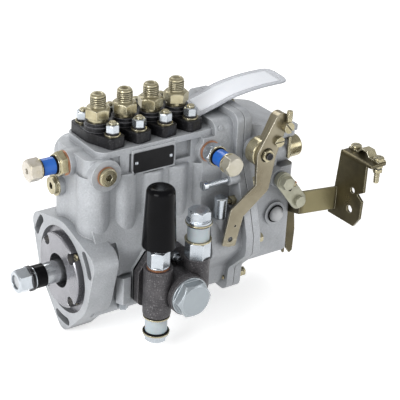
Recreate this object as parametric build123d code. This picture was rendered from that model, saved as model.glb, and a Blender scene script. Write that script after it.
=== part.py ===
from build123d import *
import math
import os

# Four-cylinder in-line diesel injection pump with a mechanical governor and a feed pump.
# Origin: on the camshaft axis, in the face of the drive flange.
# +X runs along the camshaft to the governor, -Y looks at the feed pump, +Z is up.

# Plungers and camshaft
plunger_count = 4
plunger_pitch = 32.0
first_plunger_x = 42.0
shaft_radius = 12.5
shaft_taper_radius = 11.4
thread_radius = 8.0
cam_base_radius = 14.0
cam_nose_radius = 7.0
cam_nose_reach = 16.0
cam_width = 15.0
feed_cam_radius = 13.0
feed_cam_throw = 4.0
firing_angles = (0, 270, 90, 180)
tunnel_radius = 26.0
running_clearance = 0.05
part_clearance = 0.3

# Drive flange and its bearing cover
flange_radius = 57.0
flange_thickness = 30.0
lobe_radius = 15.0
slot_circle_radius = 61.5
slot_width = 9.5
slot_half_angle = 10.0
lobe_angles = (30, 150, 270)
recess_radius = 49.0
recess_depth = 13.0
pilot_radius = 42.0
pilot_proud = 5.0
cover_screw_radius = 2.6
cover_ring_thickness = 8.0
cover_hole_radius = 19.3
scallop_circle_radius = 37.2
scallop_radius = 6.5
cover_screw_head_radius = 4.5
cover_screw_angles = (45, 135, 225, 315)
bearing_width = 15.0
collar_x0 = -35.3
collar_x1 = -23.5
collar_radius_outer = 12.8
plain_washer_width = 2.2
plain_washer_radius = 12.0
lock_washer_width = 4.0
shaft_nut_af = 24.0
shaft_nut_length = 14.5
shaft_end_x = -54.5
bearing_outer_radius = 31.0
bearing_inner_radius = 15.0
seal_width = 7.0

# Pump housing
deck_z = 145.0
deck_half_width = 36.0
deck_band = 7.0
wall_half_width = 34.0
body_left_x = 10.0
body_right_x = 160.0
cambox_half_width = 52.0
cambox_top_z = 52.0
cambox_bottom_z = -48.0
skirt_half_width = 45.0
ridge_z = 8.0
shoulder_start_z = 34.0
shoulder_end_z = 64.0
shoulder_fillet = 26.0
column_radius = 15.2
column_proud = 7.0
column_top_z = 119.0
end_column_radius = 18.0
rib_left_x = 47.5
rib_right_x = 60.0
rib_proud = 2.0
tube_x = 29.0
tube_z = 121.5
tube_radius = 17.5
tube_front_y = -41.0
tube_rear_y = 43.0
tappet_radius = 13.0
roller_radius = 8.0
roller_width = 12.0
plunger_radius = 4.5
barrel_radius = 11.5
spring_room_radius = 14.0
tappet_top_z = 64.0
barrel_bottom_z = 100.0

# Governor: bowl on the housing, gasket and rear cover
gasket_x = 196.0
gasket_thickness = 0.8
rim_width = 9.0
tunnel_end_x = gasket_x - 28.5
governor_spindle_radius = 9.0
governor_bore_radius = 48.0
governor_top_z = 160.0
governor_upper_half = 48.0
governor_upper_z = 104.0
governor_middle_half = 66.0
governor_middle_z = 62.0
governor_lower_half = 78.0
governor_lower_top_z = 24.0
governor_lower_low_z = 2.0
governor_step_z = -28.0
governor_foot_half = 46.0
governor_foot_z = -60.0
governor_corner = 11.0
cover_wall_y = -45.0
cover_end_x = 274.0
cover_bottom_z = -30.0
cover_roof_front_z = 147.0
cover_roof_rear_z = 127.0
cover_wall = 6.0
plug_x = 248.5
plug_z = 26.5
plug_face_y = -48.0
spring_cap_y = -30.0
spring_cap_z = 98.0
waist_x = 247.0
waist_y = -14.0
waist_bottom_z = 82.0
waist_top_z = 118.0
spring_boss_x = 266.0
spring_cap_length = 20.0
rim_bolt_inset = 6.8
top_bolt_y = -3.0
foot_bolt_z = governor_foot_z + 16.0
lobe_bolt_z = governor_lower_top_z - 7.0
upper_bolt_z = governor_middle_z + 16.0
upper_bolt_half = governor_middle_half - 13.0
rim_bolts = (
    (-governor_foot_half + rim_bolt_inset, foot_bolt_z),
    (-governor_lower_half + rim_bolt_inset, lobe_bolt_z),
    (top_bolt_y, governor_top_z - rim_bolt_inset),
    (governor_foot_half - rim_bolt_inset, foot_bolt_z),
    (governor_lower_half - rim_bolt_inset, lobe_bolt_z),
    (-upper_bolt_half, upper_bolt_z),
    (upper_bolt_half, upper_bolt_z),
)

# Element flanges, studs and delivery valve holders
stud_offset = 23.0
stud_turn = 11.0
flange_height = 12.0
flange_middle_radius = 15.4
flange_end_radius = 10.3
flange_corner_radius = 5.0
collar_radius = 13.6
collar_height = 9.0
stud_radius = 4.0
stud_top_z = 172.0
washer_radius = 8.4
washer_height = 1.6
lock_washer_radius = 6.8
lock_washer_height = 2.2
stud_nut_af = 13.0
stud_nut_height = 8.4
holder_top_z = 195.5
holder_thread_radius = 8.0
holder_hex_top_z = 181.0
holder_hex_bottom_z = 170.0
holder_hex_af = 24.0
holder_neck_radius = 11.0
holder_port_radius = 1.5
holder_turns = (54, 7, 16, 32)

# Fuel inlet on the end of the gallery (axis X) and return on the front (axis Y)
inlet_y = 0.0
inlet_z = 126.0
inlet_face_x = 3.0
return_x = 157.0
return_z = 122.0
return_face_y = -41.0
port_boss_radius = 14.0
copper_thickness = 1.5
copper_radius = 12.0
adapter_af = 24.0
adapter_length = 8.5
return_adapter_length = 13.0
ring_thickness = 1.5
seal_thickness = 1.5
sleeve_radius = 9.2
sleeve_length = 15.0
banjo_af = 22.0
banjo_head_length = 12.5
port_thread_radius = 6.9
banjo_shank_radius = 5.0
plug_radius = 10.0
plug_thickness = 4.0
plug_socket_af = 7.0
rack_y = 20.0
rack_z = 92.0
rack_radius = 4.5
rack_boss_face_x = 3.0
rack_start_x = 16.0

# Name plate and adjusters
plate_length = 49.5
plate_height = 22.5
plate_thickness = 0.8
plate_x = 88.0
plate_z = 126.5
plate_pad_y = -37.5
stop_screw_z = 88.0
stop_screw_y = -52.0
stop_screw_radius = 3.0
post_x = 164.0
post_y = -57.0
post_radius = 7.5
shoulder_z = 48.0
full_load_y = -50.0
full_load_z = 60.0
lug_x = 47.0
lug_y = -49.0
lug_bottom_z = -28.0

# Feed pump
feed_x = 90.0
pad_y = -55.0
feed_gasket_thickness = 3.0
feed_flange_thickness = 8.0
feed_axis_z = -2.0
feed_barrel_radius = 20.0
feed_barrel_end_y = -111.0
feed_plug_af = 36.0
feed_plug_length = 13.0
feed_valve_y = -88.0
feed_inlet_x = 65.0
feed_outlet_x = 114.0
feed_inlet_radius = 15.3
feed_outlet_radius = 13.8
feed_inlet_bottom_z = -29.0
feed_inlet_top_z = 28.5
feed_outlet_top_z = 28.5
feed_stud_places = ((99, 22), (81, 22), (90, -29))
feed_stud_radius = 3.0
feed_nut_af = 10.0
feed_neck_radius = 17.5
feed_bore_radius = 13.0
white_sleeve_length = 17.0
white_sleeve_radius = 12.0
feed_adapter_length = 20.0
primer_nut_af = 21.0
primer_nut_height = 19.5
primer_collar_height = 4.5
primer_collar_radius = 9.5
primer_rod_radius = 4.0
primer_shank_radius = 8.0
knob_bottom_radius = 18.2
knob_top_radius = 14.8
knob_height = 67.5
knob_skirt_depth = 8.0

# Levers and cable bracket
lever_x = 209.0
lever_z = 119.0
lever_shaft_radius = 5.0
lever_boss_face_y = -54.0
hub_radius = 16.0
hub_length = 14.0
lever_plate = 2.2
lever_eye_radius = 12.8
lever_eye_bore = 8.0
speed_plate_y = -70.2
speed_arm = ((0.0, 0.0), (-3.0, -38.0), (-35.0, -62.0), (-42.0, -92.0))
speed_arm_radii = (12.8, 9.0, 9.5, 9.0)
lever_nut_af = 13.0
lever_nut_height = 6.0
lever_stud_radius = 4.0
upper_arm_end = (17.0, 36.0)
upper_arm_back = 7.0
swivel_place = (22.0, 30.0)
swivel_radius = 6.3
lower_screw = (14.0, 13.8)
lower_screw_radius = 5.8
stop_x = 244.5
stop_z = 75.0
stop_boss_face_y = -56.0
stop_shaft_radius = 5.0
stop_plate_y = -62.0
stop_plate = 3.0
stop_reach_x = 23.0
stop_reach_z = -29.5
stop_end_radius = 10.0
sheet = 3.0
bracket_plate_x = 320.0
bracket_top_z = 99.0
bracket_near_y = -113.0
bracket_far_y = -69.0
bracket_hole_y = -95.0
bracket_hole_z = 58.7
arm_low_z = 24.0
arm_high_z = 52.0
arm_start_y = -60.0
flap_length = 24.0
flap_overhang = 8.0
bend_radius = 5.0
saddle_rise = 6.0
saddle_sheet = 1.6
clamp_screw_radius = 3.0
clamp_head_radius = 6.4

# Blank shipping tag
tag_start_x = 163.0
tag_end_x = 282.0
tag_y = 26.0
tag_width = 46.0
tag_thickness = 1.2
tag_corner = 16.0


def cyl_x(radius, x0, x1, y=0.0, z=0.0):
    """Cylinder along X between two stations."""
    body = Cylinder(radius, abs(x1 - x0), align=(Align.CENTER, Align.CENTER, Align.MIN))
    return Pos(min(x0, x1), y, z) * Rot(0, 90, 0) * body


def cyl_y(radius, y0, y1, x=0.0, z=0.0):
    """Cylinder along Y between two stations."""
    body = Cylinder(radius, abs(y1 - y0), align=(Align.CENTER, Align.CENTER, Align.MIN))
    return Pos(x, max(y0, y1), z) * Rot(90, 0, 0) * body


def cyl_z(radius, z0, z1, x=0.0, y=0.0):
    """Cylinder along Z between two stations."""
    body = Cylinder(radius, abs(z1 - z0), align=(Align.CENTER, Align.CENTER, Align.MIN))
    return Pos(x, y, min(z0, z1)) * body


def cone_z(bottom_radius, top_radius, z0, z1, x=0.0, y=0.0):
    """Cone along Z between two stations."""
    body = Cone(bottom_radius, top_radius, z1 - z0, align=(Align.CENTER, Align.CENTER, Align.MIN))
    return Pos(x, y, z0) * body


def block(x0, x1, y0, y1, z0, z1):
    """Box between two corners."""
    body = Box(abs(x1 - x0), abs(y1 - y0), abs(z1 - z0))
    return Pos((x0 + x1) / 2, (y0 + y1) / 2, (z0 + z1) / 2) * body


def hexagon(across_flats, length, bore=0.0):
    """Hexagon prism on +Z with its outer corners turned down, with an optional bore."""
    corner = across_flats / math.sqrt(3)
    body = extrude(RegularPolygon(radius=corner, side_count=6), length)
    bevel = 0.09 * across_flats
    turned = cyl_z(corner * 1.01, 0, length - bevel)
    turned += cone_z(corner * 1.01, across_flats * 0.46, length - bevel, length)
    body = body & turned
    if bore:
        body -= cyl_z(bore, -1, length + 1)
    return body


def ring(outer, inner, length):
    """Plain ring on +Z."""
    return cyl_z(outer, 0, length) - cyl_z(inner, -1, length + 1)


def to_left(x, y, z):
    """Place for a piece built on +Z that points along -X."""
    return Pos(x, y, z) * Rot(0, -90, 0)


def to_front(x, y, z):
    """Place for a piece built on +Z that points along -Y."""
    return Pos(x, y, z) * Rot(90, 0, 0)


def to_right(x, y, z):
    """Place for a piece built on +Z that points along +X."""
    return Pos(x, y, z) * Rot(0, 90, 0)


def across(points, x0, x1):
    """Outline in the YZ plane, drawn out along X."""
    face = make_face(Polyline(*points, close=True))
    return Pos(x0, 0, 0) * extrude(Plane.YZ * face, x1 - x0)


def front_plate(points, y0, thickness):
    """Outline in the XZ plane, from y0 towards -Y."""
    face = make_face(Polyline(*points, close=True))
    return Pos(0, y0, 0) * extrude(Plane.XZ * face, thickness)


def plunger_xs():
    return [first_plunger_x + plunger_pitch * i for i in range(plunger_count)]


def stud_places():
    """Two studs beside each plunger, on a line turned a little from Y."""
    angle = math.radians(-90 + stud_turn)
    dx = stud_offset * math.cos(angle)
    dy = stud_offset * math.sin(angle)
    return [(x + s * dx, s * dy) for x in plunger_xs() for s in (1, -1)]


def polar(radius, degrees):
    return radius * math.cos(math.radians(degrees)), radius * math.sin(math.radians(degrees))


def flange_profile():
    """Round flange with three ears that carry the slots, in local YZ."""
    outline = Circle(flange_radius)
    for angle in lobe_angles:
        y, z = polar(slot_circle_radius - 1.5, angle)
        outline += make_hull(Circle(flange_radius).edges() + (Pos(y, z) * Circle(lobe_radius)).edges())
    return outline


def arc_slot(angle):
    """Curved slot on the bolt circle, in local YZ."""
    band = Circle(slot_circle_radius + slot_width / 2) - Circle(slot_circle_radius - slot_width / 2)
    far = 2 * slot_circle_radius
    corner_a = polar(far, angle - slot_half_angle)
    corner_b = polar(far, angle + slot_half_angle)
    wedge = make_face(Polyline((0, 0), corner_a, corner_b, close=True))
    slot = band & wedge
    for end in (angle - slot_half_angle, angle + slot_half_angle):
        y, z = polar(slot_circle_radius, end)
        slot += Pos(y, z) * Circle(slot_width / 2)
    return slot


def governor_outline(inset=0.0):
    """Rim of the governor: narrow at the top, widest at the shaft line, a foot below."""
    top = governor_top_z - inset
    foot = governor_foot_z + inset
    right = [
        (governor_upper_half - inset, top),
        (governor_upper_half - inset, governor_upper_z),
        (governor_middle_half - inset, governor_middle_z),
        (governor_lower_half - inset, governor_lower_top_z),
        (governor_lower_half - inset, governor_lower_low_z),
        (governor_foot_half + 2 - inset, governor_step_z),
        (governor_foot_half - inset, foot),
    ]
    left = [(-y, z) for y, z in reversed(right)]
    face = make_face(Polyline(*(right + left), close=True))
    return fillet(face.vertices(), governor_corner)


def make_pump_housing():
    # Drive flange, cambox and upper body
    body = extrude(Plane.YZ * flange_profile(), flange_thickness)
    half = cambox_half_width
    cambox = [(-skirt_half_width, cambox_bottom_z), (-skirt_half_width, ridge_z - 7), (-half, ridge_z),
              (-half, shoulder_start_z), (-wall_half_width, shoulder_end_z), (-wall_half_width, column_top_z)]
    cambox += [(-y, z) for y, z in reversed(cambox)]
    face = make_face(Polyline(*cambox, close=True))
    low = face.vertices().group_by(Axis.Y)[0]
    face = fillet(low, 16)
    shoulders = [v for v in face.vertices() if shoulder_start_z - 1 < v.Y < shoulder_start_z + 1]
    face = fillet(shoulders, shoulder_fillet)
    feet = [v for v in face.vertices() if shoulder_end_z - 1 < v.Y < shoulder_end_z + 1]
    face = fillet(feet, shoulder_fillet / 2)
    body += Pos(flange_thickness / 2, 0, 0) * extrude(Plane.YZ * face, body_right_x - flange_thickness / 2)
    upper = block(body_left_x, body_right_x, -wall_half_width, wall_half_width, 40, deck_z - deck_band)
    upper = fillet(upper.edges().filter_by(Axis.Z).group_by(Axis.X)[0], 10)
    body += upper
    deck = block(tube_x - 6, body_right_x + 6, -deck_half_width, deck_half_width, deck_z - deck_band, deck_z)
    deck = fillet(deck.edges().filter_by(Axis.Z).group_by(Axis.X)[0], 12)
    body += deck

    # Vertical columns down both sides, one between each pair of plungers
    column_z0 = shoulder_start_z + 4
    for side in (-1, 1):
        centre_y = side * (wall_half_width + column_proud - column_radius)
        for i in range(plunger_count - 1):
            x = first_plunger_x + plunger_pitch * (i + 0.5)
            top = column_top_z if i == 0 else plate_z - plate_height / 2 - 3
            column = cyl_z(column_radius, column_z0, top, x, centre_y)
            body += fillet(column.edges().group_by(Axis.Z)[-1], 3)
        last_x = first_plunger_x + plunger_pitch * (plunger_count - 1) + column_radius
        body += cyl_z(column_radius, column_z0, column_top_z - 10, last_x, centre_y)
        end_y = side * (wall_half_width + column_proud - end_column_radius - 1.5)
        body += cyl_z(end_column_radius, column_z0, column_top_z, body_left_x + 15, end_y)

    # Gallery across the drive end, with the inlet and the rack bosses
    tube = cyl_y(tube_radius, tube_rear_y, tube_front_y, tube_x, tube_z)
    body += fillet(tube.edges().filter_by(GeomType.CIRCLE).group_by(Axis.Y)[-1], 6)
    body += cyl_x(port_boss_radius, inlet_face_x, tube_x, inlet_y, inlet_z)
    body += cyl_x(plug_radius + 2, rack_boss_face_x, body_left_x + 12, rack_y, rack_z)

    # Raised pad for the name plate
    pad_top = deck_z - deck_band / 2
    pad = block(plate_x - plate_length / 2 - 2, plate_x + plate_length / 2 + 2, -wall_half_width, plate_pad_y,
                plate_z - plate_height / 2 - 2, pad_top)
    body += pad
    body -= block(plate_x - plate_length / 2 - 1, plate_x + plate_length / 2 + 1, plate_pad_y, 2 * plate_pad_y,
                  plate_z - plate_height / 2 - 1, pad_top)

    # Governor bowl: an upper part at the deck and a wide lower part with a shoulder
    inner = 7.0
    rim_x = gasket_x - rim_width
    body += Pos(rim_x, 0, 0) * extrude(Plane.YZ * governor_outline(), rim_width)
    bowl_half = governor_upper_half - inner
    body += block(body_right_x - 12, rim_x + 1, -bowl_half, bowl_half, 40, deck_z - deck_band)
    upper_bowl = block(body_right_x + 3, rim_x + 1, -bowl_half, bowl_half, 40, governor_top_z - inner)
    body += fillet(upper_bowl.edges().filter_by(Axis.X).group_by(Axis.Z)[-1], 10)
    low = [(-governor_middle_half + 4, shoulder_z), (-governor_lower_half + 8, governor_lower_low_z + 6),
           (-governor_foot_half + 3, governor_step_z + 4), (-governor_foot_half + 8, governor_foot_z + 6)]
    low += [(-y, z) for y, z in reversed(low)]
    low_face = make_face(Polyline(*low, close=True))
    low_face = fillet(low_face.vertices(), governor_corner)
    body += Pos(body_right_x - 12, 0, 0) * extrude(Plane.YZ * low_face, rim_x + 1 - body_right_x + 12)

    # Bosses: return port, stop screw, feed pump pad, foot lug
    body += cyl_y(port_boss_radius, -wall_half_width + 4, return_face_y, return_x, return_z)
    body += cyl_x(6.5, rim_x - 12, rim_x + 1, stop_screw_y, stop_screw_z)
    body += block(rim_x - 12, rim_x + 1, stop_screw_y, -governor_upper_half + 12, stop_screw_z - 6.5,
                  stop_screw_z + 6.5)
    body += feed_outline(pad_y + 13, 13)
    lug = extrude(RegularPolygon(radius=9, side_count=6), ridge_z - 4 - lug_bottom_z)
    body += Pos(lug_x, lug_y, lug_bottom_z) * lug
    body += cyl_z(post_radius + 1, shoulder_z - 22, shoulder_z, post_x, post_y)

    # Pockets beside the name plate
    pocket_z0 = plate_z - plate_height / 2 + 2
    pocket_z1 = deck_z - deck_band
    pocket_floor = -wall_half_width + 5
    for x0, x1 in ((tube_x + tube_radius + 1, plate_x - plate_length / 2 - 2.1),
                   (plate_x + plate_length / 2 + 5, return_x - port_boss_radius - 6)):
        for side in (1, -1):
            body -= block(x0, x1, side * pocket_floor, side * -60, pocket_z0, pocket_z1)
    for side in (1, -1):
        rib = block(rib_left_x, rib_right_x, side * (pocket_floor + 2), side * (-wall_half_width - rib_proud),
                    pocket_z0 - 3, pocket_z1 + 1)
        body += fillet(rib.edges().filter_by(Axis.Z), 1.5)

    # Drive end recess and camshaft tunnel
    body -= cyl_x(recess_radius, -1, recess_depth)
    body -= cyl_x(bearing_outer_radius, recess_depth - 1, recess_depth + bearing_width)
    body -= cyl_x(tunnel_radius, recess_depth, tunnel_end_x)
    body -= cyl_x(bearing_outer_radius, tunnel_end_x - bearing_width, tunnel_end_x)
    body -= cyl_x(governor_bore_radius, tunnel_end_x + 3, gasket_x + 1)
    body -= cyl_x(bearing_outer_radius - 4, tunnel_end_x - 1, tunnel_end_x + 4)
    for angle in lobe_angles:
        body -= Pos(-1, 0, 0) * extrude(Plane.YZ * arc_slot(angle), flange_thickness + 10)

    # Plunger bores, rack bore, port threads
    for x in plunger_xs():
        body -= cyl_z(tappet_radius, 0, tappet_top_z + 2, x, 0)
        body -= cyl_z(spring_room_radius, tappet_top_z + 2, barrel_bottom_z - 2, x, 0)
        body -= cyl_z(barrel_radius, barrel_bottom_z - 3, deck_z + 1, x, 0)
    body -= cyl_x(rack_radius + running_clearance, rack_boss_face_x - 1, gasket_x + 1, rack_y, rack_z)
    body -= cyl_x(port_thread_radius, inlet_face_x - 1, inlet_face_x + 14, inlet_y, inlet_z)
    body -= cyl_y(port_thread_radius, return_face_y - 1, return_face_y + 14, return_x, return_z)
    body -= cyl_y(port_thread_radius, tube_front_y - 1, tube_front_y + 14, tube_x, tube_z)
    for x, y in stud_places():
        body -= cyl_z(stud_radius, deck_z - 18, deck_z + 1, x, y)
    body -= cyl_x(stop_screw_radius, rim_x - 13, rim_x - 5, stop_screw_y, stop_screw_z)
    return body


def feed_outline(y0, thickness):
    """Eight-sided seat of the feed pump, drawn out from y0 towards -Y."""
    points = [(feed_x - 35, -26), (feed_x - 35, 12), (feed_x - 21, 31), (feed_x + 21, 31),
              (feed_x + 35, 12), (feed_x + 35, -26), (feed_x + 14, -38), (feed_x - 14, -38)]
    face = make_face(Polyline(*points, close=True))
    face = fillet(face.vertices(), 5)
    return Pos(0, y0, 0) * extrude(Plane.XZ * face, thickness)


def make_bearing_cover():
    """Pilot drum with a screwed ring behind it, four scallops and a bore for the shaft."""
    ring_x = recess_depth - cover_ring_thickness
    body = cyl_x(recess_radius - running_clearance, ring_x, recess_depth)
    drum = cyl_x(pilot_radius, -pilot_proud, ring_x + 1)
    body += chamfer(drum.edges().group_by(Axis.X)[0], 1.2)
    body += cyl_x(bearing_outer_radius - running_clearance, recess_depth - 1, recess_depth + 3)
    body -= cyl_x(cover_hole_radius, -pilot_proud - 1, recess_depth + 4)
    for angle in cover_screw_angles:
        y, z = polar(scallop_circle_radius, angle)
        body -= cyl_x(scallop_radius, -pilot_proud - 1, ring_x, y, z)
        body -= cyl_x(cover_screw_radius, ring_x - 1, recess_depth + 1, y, z)
    return body


def make_bearing_cover_screws():
    """Cheese heads in the scallops of the cover."""
    ring_x = recess_depth - cover_ring_thickness
    screws = []
    for angle in cover_screw_angles:
        y, z = polar(scallop_circle_radius, angle)
        head = cyl_x(cover_screw_head_radius, ring_x - 4, ring_x, y, z)
        head = fillet(head.edges().group_by(Axis.X)[0], 1)
        head += cyl_x(cover_screw_radius, ring_x, recess_depth, y, z)
        screws.append(head - block(ring_x - 5, ring_x - 2.6, y - 5, y + 5, z - 0.6, z + 0.6))
    return screws


def make_oil_seal():
    """Lip seal in the cover bore, clear of the bearing journal behind it."""
    x0 = recess_depth + 2 - seal_width
    outer = cyl_x(cover_hole_radius, x0, x0 + seal_width)
    outer -= cyl_x(shaft_radius + 2.5, x0 - 1, x0 + seal_width + 1)
    lip = cyl_x(shaft_radius + 3, x0 + 2, x0 + 4)
    return outer + lip - cyl_x(shaft_radius + part_clearance, x0 - 1, x0 + seal_width + 1)


def make_camshaft_bearings():
    """Outer races at both ends of the tunnel."""
    near = recess_depth + 3
    far = tunnel_end_x - bearing_width
    races = []
    for x0, x1 in ((near, recess_depth + bearing_width), (far, tunnel_end_x)):
        race = cyl_x(bearing_outer_radius, x0, x1)
        races.append(race - cyl_x(bearing_inner_radius + running_clearance, x0 - 1, x1 + 1))
    return races


def cam_lobe(width, angle):
    """Cam disc on the YZ plane with its nose turned to an angle."""
    nose = Pos(cam_nose_reach, 0) * Circle(cam_nose_radius)
    outline = make_hull(Circle(cam_base_radius).edges() + nose.edges())
    return Rot(angle, 0, 0) * extrude(Plane.YZ * outline, width)


def make_camshaft():
    """Shaft with four cams, the feed pump eccentric and two bearing journals."""
    core = cam_base_radius - 1.5
    points = [
        (shaft_end_x, 0),
        (shaft_end_x, thread_radius),
        (collar_x0, thread_radius),
        (collar_x0, shaft_taper_radius),
        (-pilot_proud, shaft_radius),
        (recess_depth + 3, shaft_radius),
        (recess_depth + 3, bearing_inner_radius),
        (recess_depth + bearing_width, bearing_inner_radius),
        (recess_depth + bearing_width, core),
        (tunnel_end_x - bearing_width, core),
        (tunnel_end_x - bearing_width, bearing_inner_radius),
        (tunnel_end_x, bearing_inner_radius),
        (tunnel_end_x, governor_spindle_radius),
        (gasket_x - 4, governor_spindle_radius),
        (gasket_x - 4, 0),
    ]
    shaft = revolve(make_face(Polyline(*points, close=True)), Axis.X)
    for x, angle in zip(plunger_xs(), firing_angles):
        shaft += Pos(x - cam_width / 2, 0, 0) * cam_lobe(cam_width, angle)
    shaft += cyl_x(feed_cam_radius, feed_x - 5, feed_x + 5, feed_cam_throw, 0)
    return shaft


def make_governor_weights():
    """Carrier on the camshaft end and two bob weights."""
    x0 = tunnel_end_x + 5
    carrier = cyl_x(26, x0, x0 + 6) + cyl_x(14, x0, gasket_x - 8)
    weights = cyl_x(44, x0, gasket_x - 6) - cyl_x(34, x0 - 1, gasket_x)
    weights &= block(x0 - 1, gasket_x, -50, 50, -18, 18)
    arms = block(x0, x0 + 6, -36, 36, -6, 6)
    return carrier + weights + arms - cyl_x(governor_spindle_radius, x0 - 1, gasket_x)


def shaft_radius_at(x):
    """Radius of the taper at a station."""
    share = (x - collar_x0) / (-pilot_proud - collar_x0)
    return shaft_taper_radius + share * (shaft_radius - shaft_taper_radius)


def make_shaft_collar():
    """Protecting sleeve on the outer end of the taper."""
    sleeve = cyl_x(collar_radius_outer, collar_x0, collar_x1)
    sleeve = chamfer(sleeve.edges().group_by(Axis.X)[0], 0.8)
    bore_radius = shaft_radius_at(collar_x1) + running_clearance
    return sleeve - cyl_x(bore_radius, collar_x0 - 1, collar_x1 + 1)


def make_shaft_lock_washer():
    """Split spring washer under the shaft nut."""
    seat_x = collar_x0 - plain_washer_width
    washer = cyl_x(collar_radius_outer + 1, seat_x - lock_washer_width, seat_x)
    washer -= cyl_x(thread_radius, seat_x - 10, seat_x + 1)
    gap = block(seat_x - 10, seat_x + 1, -0.6, 0.6, 0, 20)
    return washer - Rot(40, 0, 0) * gap


def make_shaft_nut():
    """Hexagon nut on the shaft thread, and the plain washer beside the collar."""
    nut = hexagon(shaft_nut_af, shaft_nut_length, thread_radius)
    nut = to_left(collar_x0 - plain_washer_width - lock_washer_width, 0, 0) * Rot(0, 0, 12) * nut
    plain = cyl_x(plain_washer_radius, collar_x0 - plain_washer_width, collar_x0)
    return [nut, plain - cyl_x(thread_radius, collar_x0 - 10, collar_x0 + 1)]


def make_plunger_barrels():
    """Four pump barrels, each with its plunger bore."""
    barrels = []
    for x in plunger_xs():
        barrel = cyl_z(barrel_radius, barrel_bottom_z, deck_z, x, 0)
        barrel -= cyl_z(plunger_radius + running_clearance, barrel_bottom_z - 1, deck_z + 1, x, 0)
        barrels.append(barrel)
    return barrels


def make_plungers():
    """Four plungers with their feet on the tappets, at the top of the stroke."""
    plungers = []
    for x in plunger_xs():
        rod = cyl_z(plunger_radius, tappet_top_z, deck_z - 6, x, 0)
        foot = cyl_z(plunger_radius + 2.5, tappet_top_z, tappet_top_z + 3, x, 0)
        plungers.append(rod + foot)
    return plungers


def make_roller_tappets():
    """Four tappets with a roller each, held just above the cam noses."""
    roller_z = cam_nose_reach + cam_nose_radius + part_clearance + roller_radius
    tappets = []
    half_slot = roller_width / 2 + 0.5
    for x in plunger_xs():
        shell = cyl_z(tappet_radius, roller_z - 3, tappet_top_z, x, 0)
        shell -= block(x - half_slot, x + half_slot, -20, 20, roller_z - 4, roller_z + roller_radius + 1)
        pin = cyl_x(2.5, x - tappet_radius + 1.5, x + tappet_radius - 1.5, 0, roller_z)
        roller = cyl_x(roller_radius, x - roller_width / 2, x + roller_width / 2, 0, roller_z)
        tappets.append(shell + pin + roller)
    return tappets


def make_control_rack():
    """Round rack bar along the plungers, with a flat for each control sleeve."""
    bar = cyl_x(rack_radius, rack_start_x, gasket_x - 14, rack_y, rack_z)
    for x in plunger_xs():
        bar -= block(x - 6, x + 6, rack_y - 6, rack_y - rack_radius + 1, rack_z - 6, rack_z + 6)
    return bar


def stud_direction():
    """Unit step from a plunger to its front stud."""
    return polar(1.0, -90 + stud_turn)


def make_element_flanges():
    """Black clamping flanges, one over each plunger, with a raised collar."""
    dx, dy = stud_direction()
    corner = flange_end_radius - flange_corner_radius
    reach = stud_offset + corner
    flanges = []
    for x in plunger_xs():
        outline = Circle(flange_middle_radius).edges()
        for s in (1, -1):
            for side in (1, -1):
                place = Pos(s * reach * dx - side * corner * dy, s * reach * dy + side * corner * dx)
                outline += (place * Circle(flange_corner_radius)).edges()
        body = extrude(make_hull(outline), flange_height)
        body = fillet(body.edges().group_by(Axis.Z)[-1], 1)
        body += cyl_z(collar_radius + 0.9, flange_height - 2, flange_height + 0.55 * collar_height)
        body += cyl_z(collar_radius, flange_height - 2, flange_height + collar_height)
        body -= cyl_z(holder_neck_radius, -1, flange_height + collar_height + 1)
        for s in (1, -1):
            body -= cyl_z(stud_radius, -1, flange_height + 1, s * stud_offset * dx, s * stud_offset * dy)
        flanges.append(Pos(x, 0, deck_z) * body)
    return flanges


def make_delivery_valve_holder(x, turn):
    """Outlet with a threaded end, a hexagon and a neck that goes down to the barrel."""
    hex_height = holder_hex_top_z - holder_hex_bottom_z
    body = Pos(0, 0, holder_hex_bottom_z) * Rot(0, 0, turn) * hexagon(holder_hex_af, hex_height)
    body += cyl_z(holder_neck_radius, deck_z, holder_hex_bottom_z)
    thread = cyl_z(holder_thread_radius, holder_hex_top_z, holder_top_z)
    body += chamfer(thread.edges().group_by(Axis.Z)[-1], 1.6)
    body += cone_z(holder_thread_radius + 1.2, holder_thread_radius, holder_hex_top_z, holder_hex_top_z + 1.2)
    body -= cone_z(holder_port_radius, 4.2, holder_top_z - 3.4, holder_top_z)
    body -= cyl_z(holder_port_radius, deck_z + 8, holder_top_z)
    return Pos(x, 0, 0) * body


def make_flange_studs():
    """Studs in the deck, two for each element flange."""
    studs = []
    for x, y in stud_places():
        stud = cyl_z(stud_radius, deck_z - 18, stud_top_z, x, y)
        studs.append(chamfer(stud.edges().group_by(Axis.Z)[-1], 1))
    return studs


def make_flange_washers():
    z = deck_z + flange_height
    return [Pos(x, y, z) * ring(washer_radius, stud_radius, washer_height) for x, y in stud_places()]


def make_flange_lock_washers():
    z = deck_z + flange_height + washer_height
    height = lock_washer_height
    washers = []
    for x, y in stud_places():
        washer = ring(lock_washer_radius, stud_radius, height)
        washer -= Rot(0, 0, -60) * block(0, 10, -0.5, 0.5, -1, height + 1)
        washers.append(Pos(x, y, z) * washer)
    return washers


def make_flange_nuts():
    z = deck_z + flange_height + washer_height + lock_washer_height
    nuts = []
    for i, (x, y) in enumerate(stud_places()):
        nuts.append(Pos(x, y, z) * Rot(0, 0, 17 * i) * hexagon(stud_nut_af, stud_nut_height, stud_radius))
    return nuts


def socket_plug(radius, thickness, socket_af, shank):
    """Round plug on +Z with a hexagon socket and a shank behind it."""
    head = cyl_z(radius, 0, thickness)
    head = chamfer(head.edges().group_by(Axis.Z)[-1], 0.8)
    head += cyl_z(port_thread_radius, -shank, 0)
    socket = extrude(RegularPolygon(radius=socket_af / math.sqrt(3), side_count=6), thickness)
    return head - Pos(0, 0, thickness - 4) * socket


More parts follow.
